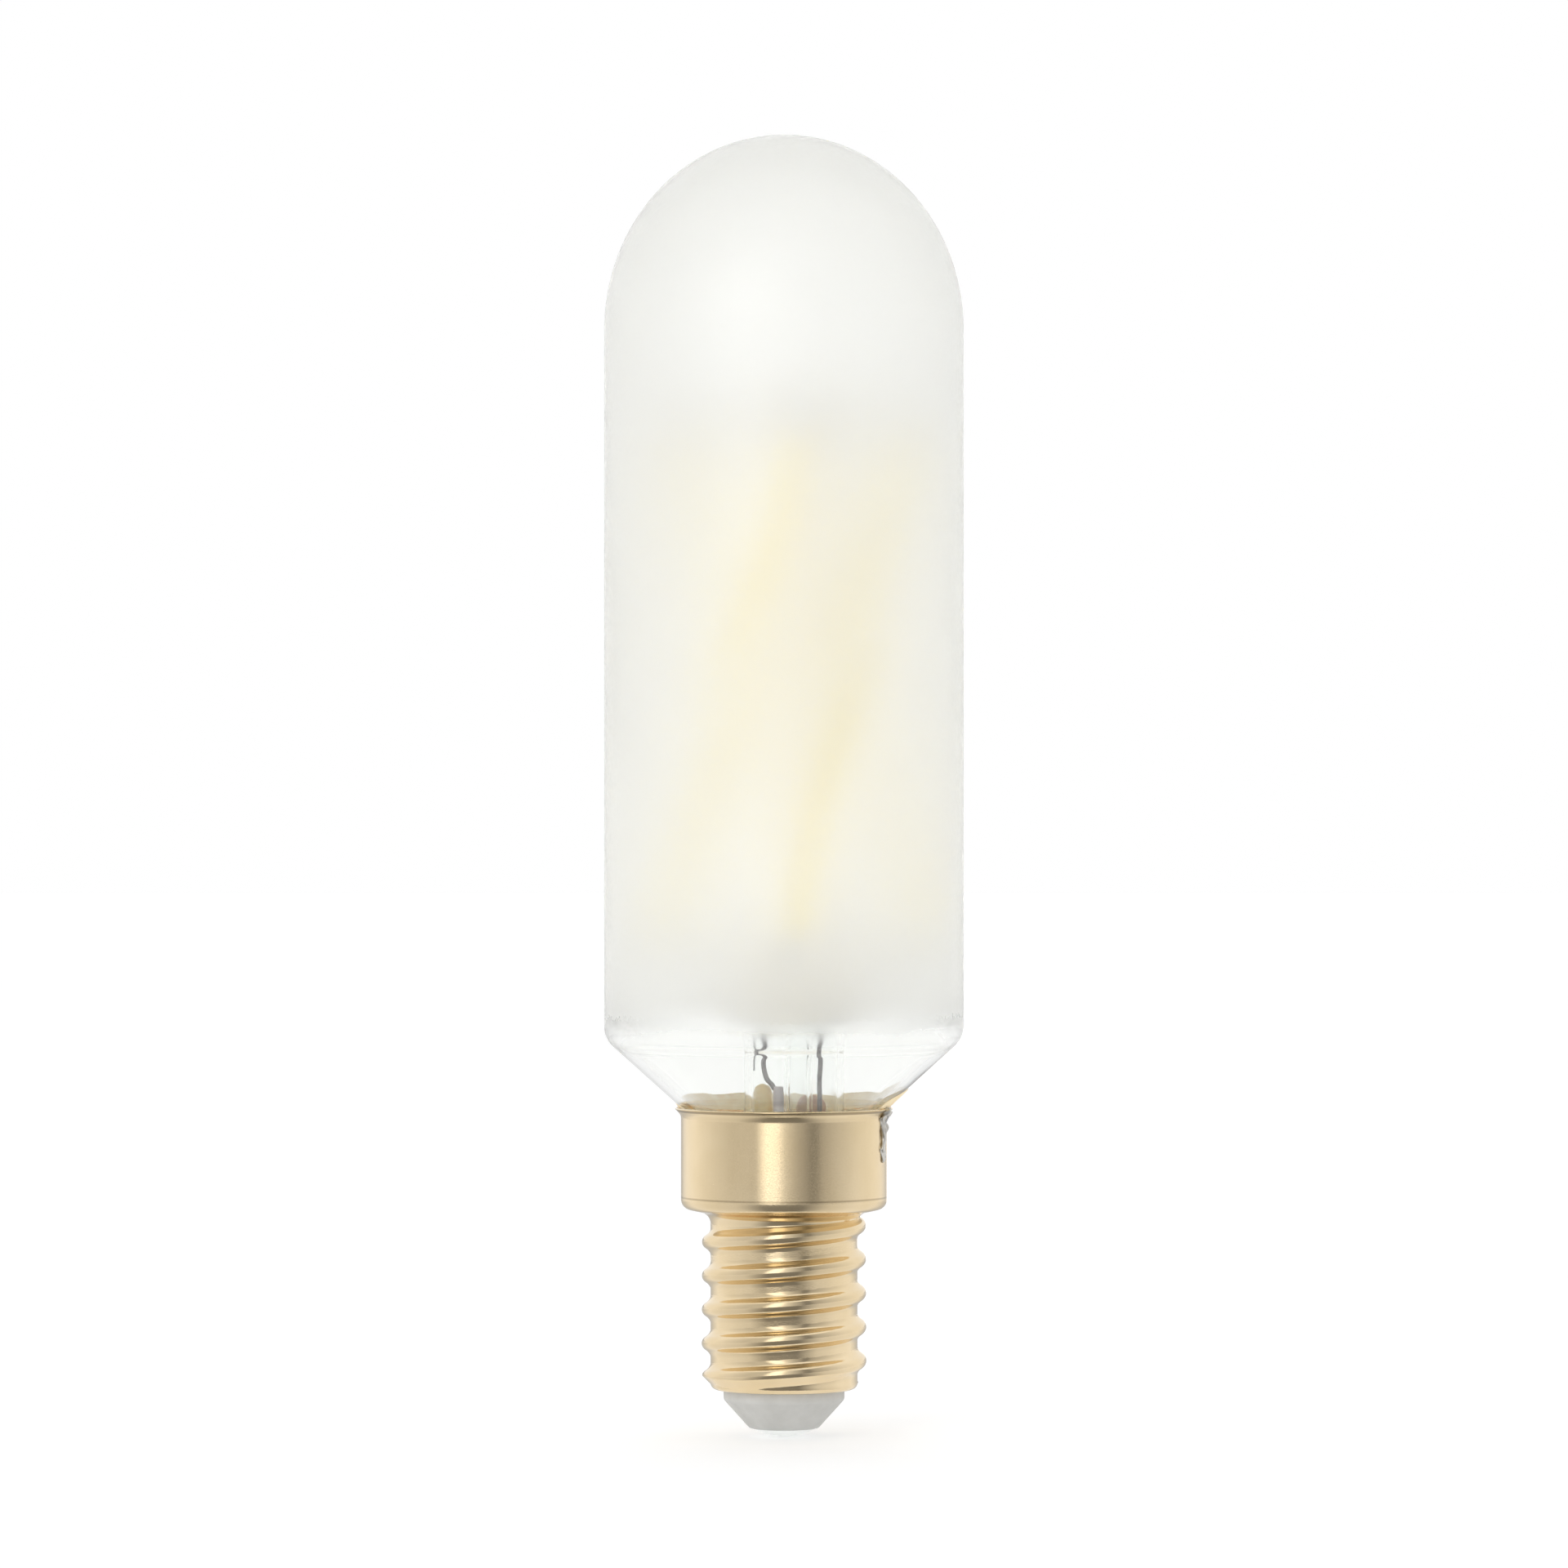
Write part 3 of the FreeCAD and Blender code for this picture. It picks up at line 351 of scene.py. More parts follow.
# name: (dark, light, coarse grain per mm, roughness, fine grain per mm, bump in mm, metallic, glow)
plainFinishes = {
    "phosphor": ((0.94, 0.76, 0.22), (1.0, 0.85, 0.34), 0.8, (0.50, 0.65), 4.0, 0.01, 0.0, 0.10),
    "contact": ((0.93, 0.94, 0.93), (0.99, 1.0, 0.99), 0.9, (0.30, 0.50), 6.0, 0.006, 1.0),
    "insulator": ((0.60, 0.60, 0.575), (0.72, 0.72, 0.70), 0.35, (0.42, 0.58), 4.0, 0.006, 0.0),
    "cement": ((0.90, 0.71, 0.42), (1.0, 0.87, 0.61), 1.1, (0.75, 0.95), 5.0, 0.05, 0.0, 0.17),
    "wire": ((0.55, 0.55, 0.55), (0.74, 0.74, 0.73), 1.5, (0.25, 0.42), 6.0, 0.004, 1.0),
    "nickel": ((0.44, 0.43, 0.42), (0.60, 0.59, 0.57), 1.5, (0.28, 0.45), 6.0, 0.004, 1.0),
    "lead": ((0.20, 0.185, 0.20), (0.36, 0.34, 0.35), 1.2, (0.35, 0.55), 6.0, 0.006, 0.7),
    "sleeve": ((0.80, 0.72, 0.75), (0.92, 0.86, 0.88), 0.8, (0.45, 0.62), 5.0, 0.008, 0.0),
    "choke": ((0.84, 0.58, 0.20), (0.96, 0.80, 0.42), 0.9, (0.28, 0.45), 3.0, 0.02, 0.0, 0.14),
    "disc": ((0.70, 0.42, 0.26), (0.84, 0.56, 0.38), 0.9, (0.35, 0.52), 3.0, 0.015, 0.0, 0.12),
    "solder": ((0.50, 0.48, 0.44), (0.84, 0.82, 0.77), 1.3, (0.28, 0.55), 4.0, 0.04, 1.0),
    "tab": ((0.60, 0.59, 0.57), (0.74, 0.73, 0.71), 1.0, (0.28, 0.42), 6.0, 0.004, 1.0),
    "board": ((0.66, 0.68, 0.62), (0.80, 0.82, 0.76), 0.4, (0.30, 0.45), 3.0, 0.01, 0.0),
    "can": ((0.05, 0.05, 0.06), (0.12, 0.12, 0.13), 0.3, (0.32, 0.45), 3.0, 0.01, 0.0),
    "rubber": ((0.02, 0.02, 0.02), (0.05, 0.05, 0.05), 0.8, (0.6, 0.8), 4.0, 0.02, 0.0),
    "resistor": ((0.20, 0.30, 0.18), (0.32, 0.42, 0.28), 0.8, (0.45, 0.6), 3.0, 0.015, 0.0),
    "package": ((0.02, 0.02, 0.02), (0.05, 0.05, 0.05), 0.8, (0.45, 0.6), 4.0, 0.01, 0.0),
}
materials = {
    "glass": frostedWall("satin outer wall", glassFinish["outerRoughness"], 1.0),
    "frost": frostedWall("frosted inner wall", glassFinish["innerRoughness"], glassFinish["innerThrough"],
                         glassFinish["paintedPowderGlow"]),
    # The stem glass's warm top colour is painted light of the strips
    "stem": clearGlass("stem glass", 0.01, (0.985, 0.992, 0.987), (0.96, 0.92, 0.83), (33.0, 37.0), 0.05),
    "brass": brassFinish("lacquered brass"),
}
for name, values in plainFinishes.items():
    materials[name] = grainFinish(name, *values)
print("materials made")

# Every CAD node gets its finish; the pieces further down replace some of them
finishes = {
    "cap_brass": "brass", "contact_metal": "contact", "insulator_plastic": "insulator",
    "tinned_wire": "wire", "frosted_glass": "frost", "cement": "cement", "stem_glass": "stem",
    "support_wire": "nickel", "lead_metal": "lead", "sleeve": "sleeve", "board": "board",
    "choke_coat": "choke", "disc_coat": "disc", "can_metal": "can", "seal_rubber": "rubber",
    "resistor_coat": "resistor", "package_plastic": "package", "solder": "solder",
    "phosphor": "phosphor", "tab_metal": "tab",
}
for subpart in frame["record"]["subparts"]:
    node = nodes[subpart["node"]]
    node.data.materials.clear()
    node.data.materials.append(materials[finishes[subpart["material_slot"]]])
print("CAD nodes dressed")


envelope = {"neck": 8.0, "neckFoot": 23.62, "cornerZ": 26.85, "neckRound": 0.8, "coneAngle": 48.0,
            "tube": 15.0, "footRound": 2.2, "insideFootRound": 4.5, "domeZ": 92.357, "domeRise": 16.2,
            "wall": 0.8, "columns": 160}


# Outline of the envelope moved in by a wall: neck, cone, tube, then the dome's quarter ellipse
# r = tube cos(a), z = domeZ + rise sin(a)
def envelopeProfile(inset):
    e = envelope
    slope = math.radians(e["coneAngle"])
    coneTop = e["cornerZ"] + (e["tube"] - e["neck"]) / math.tan(slope)
    lift = inset * math.tan(slope / 2)
    rounding = e["insideFootRound"] if inset else e["footRound"]
    side = roundedProfile([
        (e["neck"] - inset, e["neckFoot"], 0),
        (e["neck"] - inset, e["cornerZ"] + lift, e["neckRound"] + inset),
        (e["tube"] - inset, coneTop + lift, rounding),
        (e["tube"] - inset, e["domeZ"], 0),
    ], 16)
    a = np.linspace(0, math.pi / 2, 48)[1:]
    r, z = (e["tube"] - inset) * np.cos(a), e["domeZ"] + (e["domeRise"] - inset) * np.sin(a)
    side = np.concatenate([side[:-1], np.linspace(side[-2], side[-1], 40)[1:]])
    return np.concatenate([side, np.stack([r, z], -1)])


outside, inside = envelopeProfile(0), envelopeProfile(envelope["wall"])
outside[-1, 0] = inside[-1, 0] = 0
envelopePiece = makePiece("glassEnvelope", [
    (turnedGrid(outside, envelope["columns"]), True, 0),
    (turnedGrid(inside[::-1], envelope["columns"]), True, 1),
    (turnedGrid(np.array([inside[0], outside[0]]), envelope["columns"]), True, 0),
], [materials["glass"], materials["frost"]])
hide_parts("glass_envelope")
print("glass envelope made")


shell = {"foot": 3.9, "wall": 0.2, "lip": 5.07, "core": 6.14, "crest": 6.9, "valley": 6.1, "pitch": 2.822,
         "firstCrest": 4.9, "crestShare": 0.4, "draft": 0.2, "fadeHeight": 0.3, "fadeSink": 0.14,
         "footRound": 0.6, "shoulder": 18.5, "cove": 1.0, "skirtFoot": 19.05, "skirt": 8.6,
         "skirtRound": 0.85, "flareFoot": 26.75, "rim": 27.3, "rimRadius": 9.1, "rimRound": 0.6,
         "rows": 224, "columns": 200}


# Radius of the rolled thread at height z and turn t. With d the height from the nearest crest line
# zc = firstCrest + pitch (t - pi) / 2 pi, the crest is the arc crestCentre + sqrt(a^2 - d^2) out to
# where it touches the valley's arc, valleyCentre - sqrt(b^2 - (pitch/2 - d)^2). The whole thread
# narrows upwards by the draft.
def threadRadius(z, t):
    s = shell
    half = s["pitch"] / 2
    depth = s["crest"] - s["valley"]
    bothArcs = (depth ** 2 + half ** 2) / (2 * depth)
    a = bothArcs * s["crestShare"]
    b = bothArcs - a
    touch = a * half / bothArcs
    turns = (z - s["firstCrest"]) / s["pitch"] - (t - math.pi) / (2 * math.pi)
    d = np.abs(turns - np.round(turns)) * s["pitch"]
    crest = s["crest"] - a + np.sqrt(np.maximum(a ** 2 - d ** 2, 0))
    valley = s["valley"] + b - np.sqrt(np.maximum(b ** 2 - (half - d) ** 2, 0))
    narrowing = math.tan(math.radians(s["draft"])) * (z - s["firstCrest"] + s["pitch"])
    return np.where(d < touch, crest, valley) - narrowing


# Drawn sheet with its thread: along the outline the radius is the larger of the sheet's own and the
# thread's, and at the foot the thread is held under a cone, r = core - fadeSink + z - foot - fadeHeight
def shellGrid():
    s = shell
    outline = roundedProfile([
        (s["lip"], s["foot"], 0),
        (s["core"], s["foot"], s["footRound"]),
        (s["core"], s["shoulder"], s["cove"]),
        (s["skirt"], s["skirtFoot"], s["skirtRound"]),
        (s["skirt"], s["flareFoot"], s["rimRound"]),
        (s["rimRadius"], s["rim"], 0),
    ], 14)
    outline = evenly(outline, s["rows"])
    t = np.arange(s["columns"]) * (2 * math.pi / s["columns"])
    r, z = outline[:, :1] + 0 * t, outline[:, 1:] + 0 * t
    fade = s["core"] - s["fadeSink"] + z - s["foot"] - s["fadeHeight"]
    threaded = np.maximum(r, np.minimum(threadRadius(z, t), fade))
    onWall = (r > s["core"] - s["footRound"] - 0.01) & (z > s["foot"] + 0.001) & (z < s["skirtFoot"])
    r = np.where(onWall, threaded, r)
    return np.stack([r * np.cos(t), r * np.sin(t), z], -1)


shellPiece = makePiece("screwShell", [(shellGrid(), True, 0)], [materials["brass"]], 60.0)
wall = shellPiece.modifiers.new("sheet", "SOLIDIFY")
wall.thickness = shell["wall"] * mm
wall.offset = -1
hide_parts("screw_shell")
print("screw shell made")


foot = {"contactRadius": 2.7, "contactHeight": 0.65, "gap": 0.02, "coneFoot": 2.9, "radius": 5.05,
        "wideZ": 3.05, "bandTop": 4.12, "bevel": 0.3, "flange": 5.84, "top": 5.3, "edge": 0.25,
        "bore": 1.12, "rivet": 1.1, "rivetBore": 0.5, "rivetTop": 5.9}
# Grey plug: a cone above the contact, a band, and the flange that the shell's foot holds
plugFoot = foot["contactHeight"] + foot["gap"]
plug = roundedProfile([
    (foot["bore"], plugFoot, 0),
    (foot["coneFoot"], plugFoot, foot["edge"]),
    (foot["radius"], foot["wideZ"], 2 * foot["edge"]),
    (foot["radius"], foot["bandTop"], 0),
    (foot["flange"] - foot["bevel"], foot["bandTop"], 0),
    (foot["flange"], foot["bandTop"] + foot["bevel"], 0),
    (foot["flange"], foot["top"], foot["edge"]),
    (foot["bore"], foot["top"], 0),
    (foot["bore"], plugFoot, 0),
])
insulatorPiece = makePiece("insulatorPlug", [(turnedGrid(plug), True, 0)], [materials["insulator"]],
                           30.0)
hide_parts("insulator")

# Hollow rivet whose head is the contact's dome, a cap of the sphere through its tip and its edge
sphere = (foot["contactRadius"] ** 2 + foot["contactHeight"] ** 2) / (2 * foot["contactHeight"])
bow = np.linspace(0, math.asin(foot["contactRadius"] / sphere), 16)
rivet = np.concatenate([
    np.stack([sphere * np.sin(bow), sphere * (1 - np.cos(bow))], -1),
    np.array([(foot["rivet"], foot["contactHeight"]), (foot["rivet"], foot["rivetTop"]),
              (foot["rivetBore"], foot["rivetTop"]), (foot["rivetBore"], foot["contactHeight"]),
              (0, foot["contactHeight"])]),
])
contactPiece = makePiece("contactRivet", [(turnedGrid(rivet, 96), True, 0)], [materials["contact"]],
                         30.0)
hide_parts("centre_contact")
print("insulator and contact made")


cement = {"inner": 8.03, "outer": 8.37, "foot": 24.4, "top": 27.0, "brim": 0.2, "rough": 0.16,
          "roughHeight": 0.5}
# Ring of cement between the neck and the skirt, which widens under the rim and has a lumpy top
ring = roundedProfile([
    (cement["inner"], cement["foot"], 0),
    (cement["outer"], cement["foot"], 0),
    (cement["outer"], cement["top"] - cement["brim"], 0),
    (cement["outer"] + cement["brim"], cement["top"], 0.05),
    (cement["inner"], cement["top"], 0),
    (cement["inner"], cement["foot"], 0),
])
ringGrid = turnedGrid(evenly(ring, 60), 180)
atTop = np.clip((ringGrid[..., 2] - cement["top"] + cement["roughHeight"]) / cement["roughHeight"], 0, 1)
ringGrid[..., 2] -= atTop * cement["rough"] * (0.6 + lumps(ringGrid, 1.6, 3))
cementPiece = makePiece("cementRing", [(ringGrid, True, 0)], [materials["cement"]])
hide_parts("basing_cement")

smear = {"foot": 26.95, "high": 1.4, "least": 0.02, "gap": 0.02, "thick": 0.16, "fullHeight": 0.4,
         "swell": 0.3, "rough": 0.06, "rows": 12, "columns": 180,
         "turns": ((90.0, 108.0, 1.0), (-4.0, 22.0, 1.5))}
# Cement that swelled up along the cone at the back and the right: a thin skin on the glass, r = cone(z).
# Its height falls off round the lamp from the middle of each turn (middle, width, share), by
# (1 - apart / width) to the power of the swell.
t = np.arange(smear["columns"]) * (2 * math.pi / smear["columns"])
reach = np.zeros(len(t))
for centre, width, share in smear["turns"]:
    apart = np.abs((np.degrees(t) - centre + 180) % 360 - 180)
    reach = np.maximum(reach, share * np.clip(1 - apart / width, 0, 1) ** smear["swell"])
onNeck = np.stack([np.cos(t), np.sin(t), 0 * t], -1) * envelope["neck"]
reach = smear["high"] * reach * (0.97 + smear["rough"] * lumps(onNeck, 3.0, 5))
reach = np.maximum(reach, smear["least"])
up = np.linspace(0, 1, smear["rows"])
s = np.concatenate([up, up[::-1], [0]])[:, None]
onGlass = np.concatenate([np.ones(len(up)), np.zeros(len(up)), [1]])[:, None]
z = smear["foot"] + s * reach
glassRadius = np.interp(z, outside[:60, 1], outside[:60, 0])
bulge = onGlass * np.sqrt(np.clip(1 - s ** 2, 0, 1)) * np.clip(reach / smear["fullHeight"], 0, 1)
r = glassRadius + smear["gap"] + smear["thick"] * bulge
skin = np.stack([r * np.cos(t), r * np.sin(t), z + 0 * t], -1)
makePiece("cementSmear", [(skin, True, 0)], [materials["cement"]])

solder = {"azimuth": -18.0, "wide": 0.34, "widening": (0.75, 0.45), "stand": 0.42, "rising": (0.6, 0.4),
          "under": 0.05, "most": 1.25, "gap": 0.01, "foot": 22.9, "top": 27.25, "crinkle": 0.8,
          "wander": ((0.16, 2.3, 0.0), (0.08, 5.1, 1.0)), "skirt": ((19.9, 26.6, 27.3), (8.6, 8.6, 9.08)),
          "bead": (0.42, 0.55, 0.36), "beadRadius": 9.0, "beadZ": 27.12, "beadCrinkle": 0.25}


# Points given outwards, sideways and upwards at the solder's turn round the lamp
def besideSkirt(outwards, sideways, z):
    turn = math.radians(solder["azimuth"])
    cosine, sine = math.cos(turn), math.sin(turn)
    return np.stack([outwards * cosine - sideways * sine, outwards * sine + sideways * cosine, z], -1)


# Run of solder down the skirt: at height z a half oval of the given width and stand, both crinkled by
# sine lumps and closed to nothing at the foot, laid along the skirt and its flared rim. Its middle
# wanders sideways by a sum of sines, reach * sin(z * pace + start).
def solderRun():
    s = solder
    share = np.linspace(0, 1, 120)[:, None]
    v = -np.arange(40) * (2 * math.pi / 40)
    z = s["foot"] + share * (s["top"] - s["foot"]) + 0 * v
    close = np.clip(np.sqrt(np.clip(1 - (1 - 2 * share) ** 8, 0, 1)), 0, 1)
    crinkles = lumps(np.stack([np.cos(v) + 0 * z, np.sin(v) + 0 * z, z], -1), 0.75, 31, 12)
    swell = close * (1 + s["crinkle"] * crinkles)
    wander = sum(reach * np.sin(z * pace + start) for reach, pace, start in s["wander"])
    width = s["widening"][0] + s["widening"][1] * share
    height = s["rising"][0] + s["rising"][1] * share
    across = s["wide"] * swell * np.cos(v) * width + wander * close
    away = np.maximum(np.sin(v), -s["under"]) * s["stand"] * swell * height
    r = np.interp(z, *s["skirt"]) + s["gap"] + np.minimum(away, s["stand"] * s["most"])
    return besideSkirt(r, across, z)


# Bead over the rim: a crinkled ball with its own three half widths
def solderBead():
    s = solder
    a = np.linspace(0, math.pi, 24)[:, None]
    w = np.arange(32) * (2 * math.pi / 32)
    ball = np.stack([np.sin(a) * np.cos(w), np.sin(a) * np.sin(w), -np.cos(a) + 0 * w], -1)
    ball = ball * np.array(s["bead"]) * (1 + s["beadCrinkle"] * lumps(ball, 0.9, 32)[..., None])
    return besideSkirt(s["beadRadius"] + ball[..., 0], ball[..., 1], s["beadZ"] + ball[..., 2])


solderPiece = makePiece("sideSolder", [(solderRun(), True, 0), (solderBead(), True, 0)],
                        [materials["solder"]], 60.0)
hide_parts("side_solder")
print("cement and solder made")


filament = {"count": 4, "x": 0.85, "topRing": 7.3, "footRing": 8.7, "foot": 41.9, "top": 82.96,
            "twist": 90.0, "width": 1.5, "thickness": 1.1, "square": 0.8, "ring": 0.03, "chipStep": 1.42}


# Coated strip: oval (a cos v, b sin v), with the cosine and sine squared up by a power, carried from the
# foot to the top. It is rounded at its ends by sqrt(1 - (1 - d)^2) over one half thickness d, and has
# faint rings over the chips inside.
def filamentGrid(number):
    f = filament
    high = math.radians(360 / f["count"] * number)
    low = high - math.radians(f["twist"])
    top = np.array([f["x"] + f["topRing"] * math.cos(high), f["topRing"] * math.sin(high), f["top"]])
    base = np.array([f["x"] + f["footRing"] * math.cos(low), f["footRing"] * math.sin(low), f["foot"]])
    length = np.linalg.norm(top - base)
    along = (top - base) / length
    middle = (top + base) / 2 - np.array([f["x"], 0, (f["top"] + f["foot"]) / 2])
    outward = middle - along * (middle @ along)
    outward /= np.linalg.norm(outward)
    across = np.cross(outward, along)
    end = f["thickness"] / 2
    s = np.concatenate([end * (1 - np.cos(np.linspace(0, math.pi / 2, 8))),
                        np.linspace(end, length - end, 160)[1:-1],
                        length - end * (1 - np.cos(np.linspace(math.pi / 2, 0, 8)))])
    near = np.clip(np.minimum(s, length - s) / end, 0, 1)
    rings = 1 - f["ring"] + f["ring"] * np.cos(2 * math.pi * s / f["chipStep"])
    size = np.sqrt(1 - (1 - near) ** 2) * rings
    v = np.arange(28) * (2 * math.pi / 28)
    ovalX = np.sign(np.cos(v)) * np.abs(np.cos(v)) ** f["square"] * f["width"] / 2
    ovalY = np.sign(np.sin(v)) * np.abs(np.sin(v)) ** f["square"] * f["thickness"] / 2
    section = ovalX[:, None] * across + ovalY[:, None] * outward
    return base + along * s[:, None, None] + section[None] * size[:, None, None]


for number in range(filament["count"]):
    strip = makePiece(f"filamentStrip{number + 1}", [(filamentGrid(number), True, 0)],
                      [materials["phosphor"]])
    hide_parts(f"filament_{number + 1}")
print("filaments made")

leads = {
    "left": [(-2.35, 0, 40.9), (-2.35, 0, 34.1), (-2.25, 0, 33.55), (-1.78, -0.1, 33.3),
             (-1.55, -0.2, 32.5), (-1.70, -0.4, 31.3), (-1.40, -0.5, 30.2), (-0.80, -0.55, 29.4),
             (-0.45, -0.55, 28.4), (-0.45, -0.55, 23.0)],
    "right": [(2.95, 0, 40.9), (2.95, 0, 33.4), (3.06, -0.2, 32.2), (3.08, -0.3, 31.0),
              (2.98, -0.6, 29.9), (2.95, -0.75, 28.7), (2.95, -0.75, 23.0)],
}
stub = [(-2.32, -0.02, 33.9), (-2.42, -0.06, 33.3), (-2.5, -0.1, 32.4), (-2.56, -0.12, 30.8)]
leadRadius, stubRadius = 0.2, 0.075
# Drawn wires along smooth lines through the points of their bends
for side, bends in leads.items():
    wire = wireGrid(smoothPath(bends, 150), leadRadius)
    leadPiece = makePiece(f"leadWire{side.title()}", [(wire, True, 0)], [materials["lead"]])
    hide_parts(f"lead_wire_{side}")
wire = wireGrid(smoothPath(stub, 40), stubRadius)
makePiece("leadStub", [(wire, True, 0)], [materials["lead"]])
print("leads made")


stem = {"x": 0.85, "seal": 23.6, "foot": 28.2, "flareHeight": 4.6, "sweep": 78.0, "tube": 4.15,
        "wall": 0.6, "flare": 7.1, "neck": 8.0, "boreEnd": 34.4, "press": 36.4, "pressTop": 40.0,
        "pressHalfWidth": 4.3, "pressHalfThick": 1.5, "round": 0.5, "uneven": 0.7, "unevenRows": 20,
        "columns": 120}


# Rows of the stem, each (half width, half thickness, centre x, z): from the closed end of the bore down
# its wall and the inside of the flare, round the foot, up the outside of the flare and the tube, and over
# the press. On the flare, at turn a, the radius grows by (1 - cos a) and the level falls by sin a. The
# bore's end and the press's top are rounded in the same way by a quarter turn.
def stemRows():
    s = stem
    sweep = math.radians(s["sweep"])
    a = np.linspace(0, sweep, 24)
    widen = (1 - np.cos(a)) / (1 - math.cos(sweep))
    drop = np.sin(a) / math.sin(sweep)
    outer = s["tube"] + (s["flare"] - s["tube"]) * widen
    bore = s["tube"] - s["wall"]
    end = np.linspace(0, math.pi / 2, 14)
    rows = [np.stack([bore * np.sin(end), bore * np.sin(end), s["x"] + 0 * end,
                      s["boreEnd"] - s["round"] * (1 - np.cos(end))], -1)]
    down = np.linspace(s["boreEnd"] - s["round"] - 0.1, s["foot"] + 0.1, 24)
    rows.append(np.stack([bore + 0 * down, bore + 0 * down, s["x"] + 0 * down, down], -1))
    rows.append(np.stack([outer - s["wall"], outer - s["wall"], s["x"] * (1 - widen),
                          s["foot"] - (s["flareHeight"] + s["wall"]) * drop], -1))
    rows.append(np.array([(s["neck"], s["neck"], 0, s["seal"] - s["wall"]),
                          (s["neck"], s["neck"], 0, s["seal"] - 0.01)]))
    flare = np.stack([outer, outer, s["x"] * (1 - widen), s["foot"] - s["flareHeight"] * drop], -1)
    rows.append(flare[::-1])
    up = np.linspace(s["foot"] + 0.1, s["boreEnd"], 20)
    rows.append(np.stack([s["tube"] + 0 * up, s["tube"] + 0 * up, s["x"] + 0 * up, up], -1))
    u = np.linspace(0, 1, 16)[1:]
    ease = u * u * (3 - 2 * u)
    rows.append(np.stack([s["tube"] + (s["pressHalfWidth"] - s["tube"]) * ease,
                          s["tube"] + (s["pressHalfThick"] - s["tube"]) * ease, s["x"] + 0 * u,
                          s["boreEnd"] + (s["press"] - s["boreEnd"]) * u], -1))
    top = np.linspace(0, math.pi / 2, 10)
    drawnIn = s["round"] * (1 - np.cos(top))
    rows.append(np.stack([s["pressHalfWidth"] - drawnIn, s["pressHalfThick"] - drawnIn, s["x"] + 0 * top,
                          s["pressTop"] - s["round"] * (1 - np.sin(top))], -1))
    rows.append(np.array([(0, 0, s["x"], s["pressTop"])]))
    return np.concatenate(rows)


rows = stemRows()
t = np.arange(stem["columns"]) * (2 * math.pi / stem["columns"])
stemGrid = np.stack([rows[:, 2:3] + rows[:, :1] * np.cos(t), rows[:, 1:2] * np.sin(t),
                     rows[:, 3:] + 0 * t], -1)
# The closed end of the bore came out uneven when the glass was pressed
nearEnd = np.clip(1 - np.arange(len(rows)) / stem["unevenRows"], 0, 1)[:, None]
stemGrid[..., 2] += stem["uneven"] * nearEnd * lumps(stemGrid, 2.4, 41)
stemPiece = makePiece("stemGlass", [(stemGrid, True, 0)], [materials["stem"]], 50.0)
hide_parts("stem_flare")

pump = {"x": 1.2, "radius": 1.2, "bore": 0.75, "tip": 20.0, "shut": 21.92, "top": 33.3}
# Pumping tube melted shut at its tip: the bore down to a round end, the outside and the open top
a = np.linspace(0.1, math.pi / 2, 10)
pumpBore = np.concatenate([
    np.array([(pump["bore"], pump["top"]), (pump["bore"], pump["shut"])]),
    np.stack([pump["bore"] * np.cos(a), pump["shut"] - pump["bore"] * np.sin(a)], -1),
])
pumpBore[-1, 0] = 0
pumpOutside = roundedProfile([(0, pump["tip"], 0), (pump["radius"] / 2, pump["tip"], 0.4),
                              (pump["radius"], pump["shut"], 1.2), (pump["radius"], pump["top"], 0)])
pumpEnd = np.array([(pump["radius"], pump["top"]), (pump["bore"], pump["top"])])
pumpPiece = makePiece("pumpingTube", [
    (turnedGrid(evenly(pumpBore, 60), 64, pump["x"]), True, 0),
    (turnedGrid(evenly(pumpOutside, 60), 64, pump["x"]), True, 0),
    (turnedGrid(pumpEnd, 64, pump["x"]), True, 0),
], [materials["stem"]], 50.0)
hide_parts("exhaust_tube")
print("stem and pumping tube made")

choke = {"x": -1.78, "y": 0.1, "foot": 24.3, "top": 29.7, "radius": 0.85, "dome": 0.8, "swell": 0.06}
# Wound choke under its dipped coat: a turned body with the lumps of the winding, whose top is the dome
# r = radius cos a, z = top - dome (1 - sin a)
side = roundedProfile([
    (0, choke["foot"], 0),
    (choke["radius"], choke["foot"], 0.4),
    (choke["radius"], choke["top"] - choke["dome"], 0),
])
a = np.linspace(0, math.pi / 2, 16)[1:]
dome = np.stack([choke["radius"] * np.cos(a), choke["top"] - choke["dome"] * (1 - np.sin(a))], -1)
dome[-1, 0] = 0
chokeGrid = turnedGrid(evenly(np.concatenate([side, dome]), 60), 48)
chokeGrid[..., :2] *= 1 + choke["swell"] * (lumps(chokeGrid, 1.1, 21)[..., None] - 0.4)
chokeGrid += np.array([choke["x"], choke["y"], 0])
chokePiece = makePiece("chokeCoat", [(chokeGrid, True, 0)], [materials["choke"]])
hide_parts("choke")

disc = {"x": 2.3, "y": 1.75, "z": 27.35, "radius": 1.45, "thick": 0.75, "round": 0.95, "swell": 0.06}
# Dipped disc: a turned body stood on its edge, thick in the middle, with a dipped coat's uneven edge
half = disc["thick"] / 2
rounding = disc["round"] * half
body = roundedProfile([
    (0, -half, 0),
    (disc["radius"], -half, rounding),
    (disc["radius"], half, rounding),
    (0, half, 0),
])
lying = turnedGrid(evenly(body, 48), 72)
lying[..., :2] *= 1 + disc["swell"] * (lumps(lying, 1.6, 22)[..., None] - 0.5)
standing = np.stack([disc["x"] + lying[..., 0], disc["y"] - lying[..., 2], disc["z"] + lying[..., 1]], -1)
discPiece = makePiece("discCoat", [(standing, True, 0)], [materials["disc"]])
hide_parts("ceramic_capacitor")

sleeve = {"radius": 0.45, "bore": 0.22, "foot": 23.3, "pinch": 0.10, "pinchFromTo": (0.3, 0.4),
          "places": {"left": (-0.45, -0.55, 29.5), "right": (2.95, -0.75, 26.8)}}
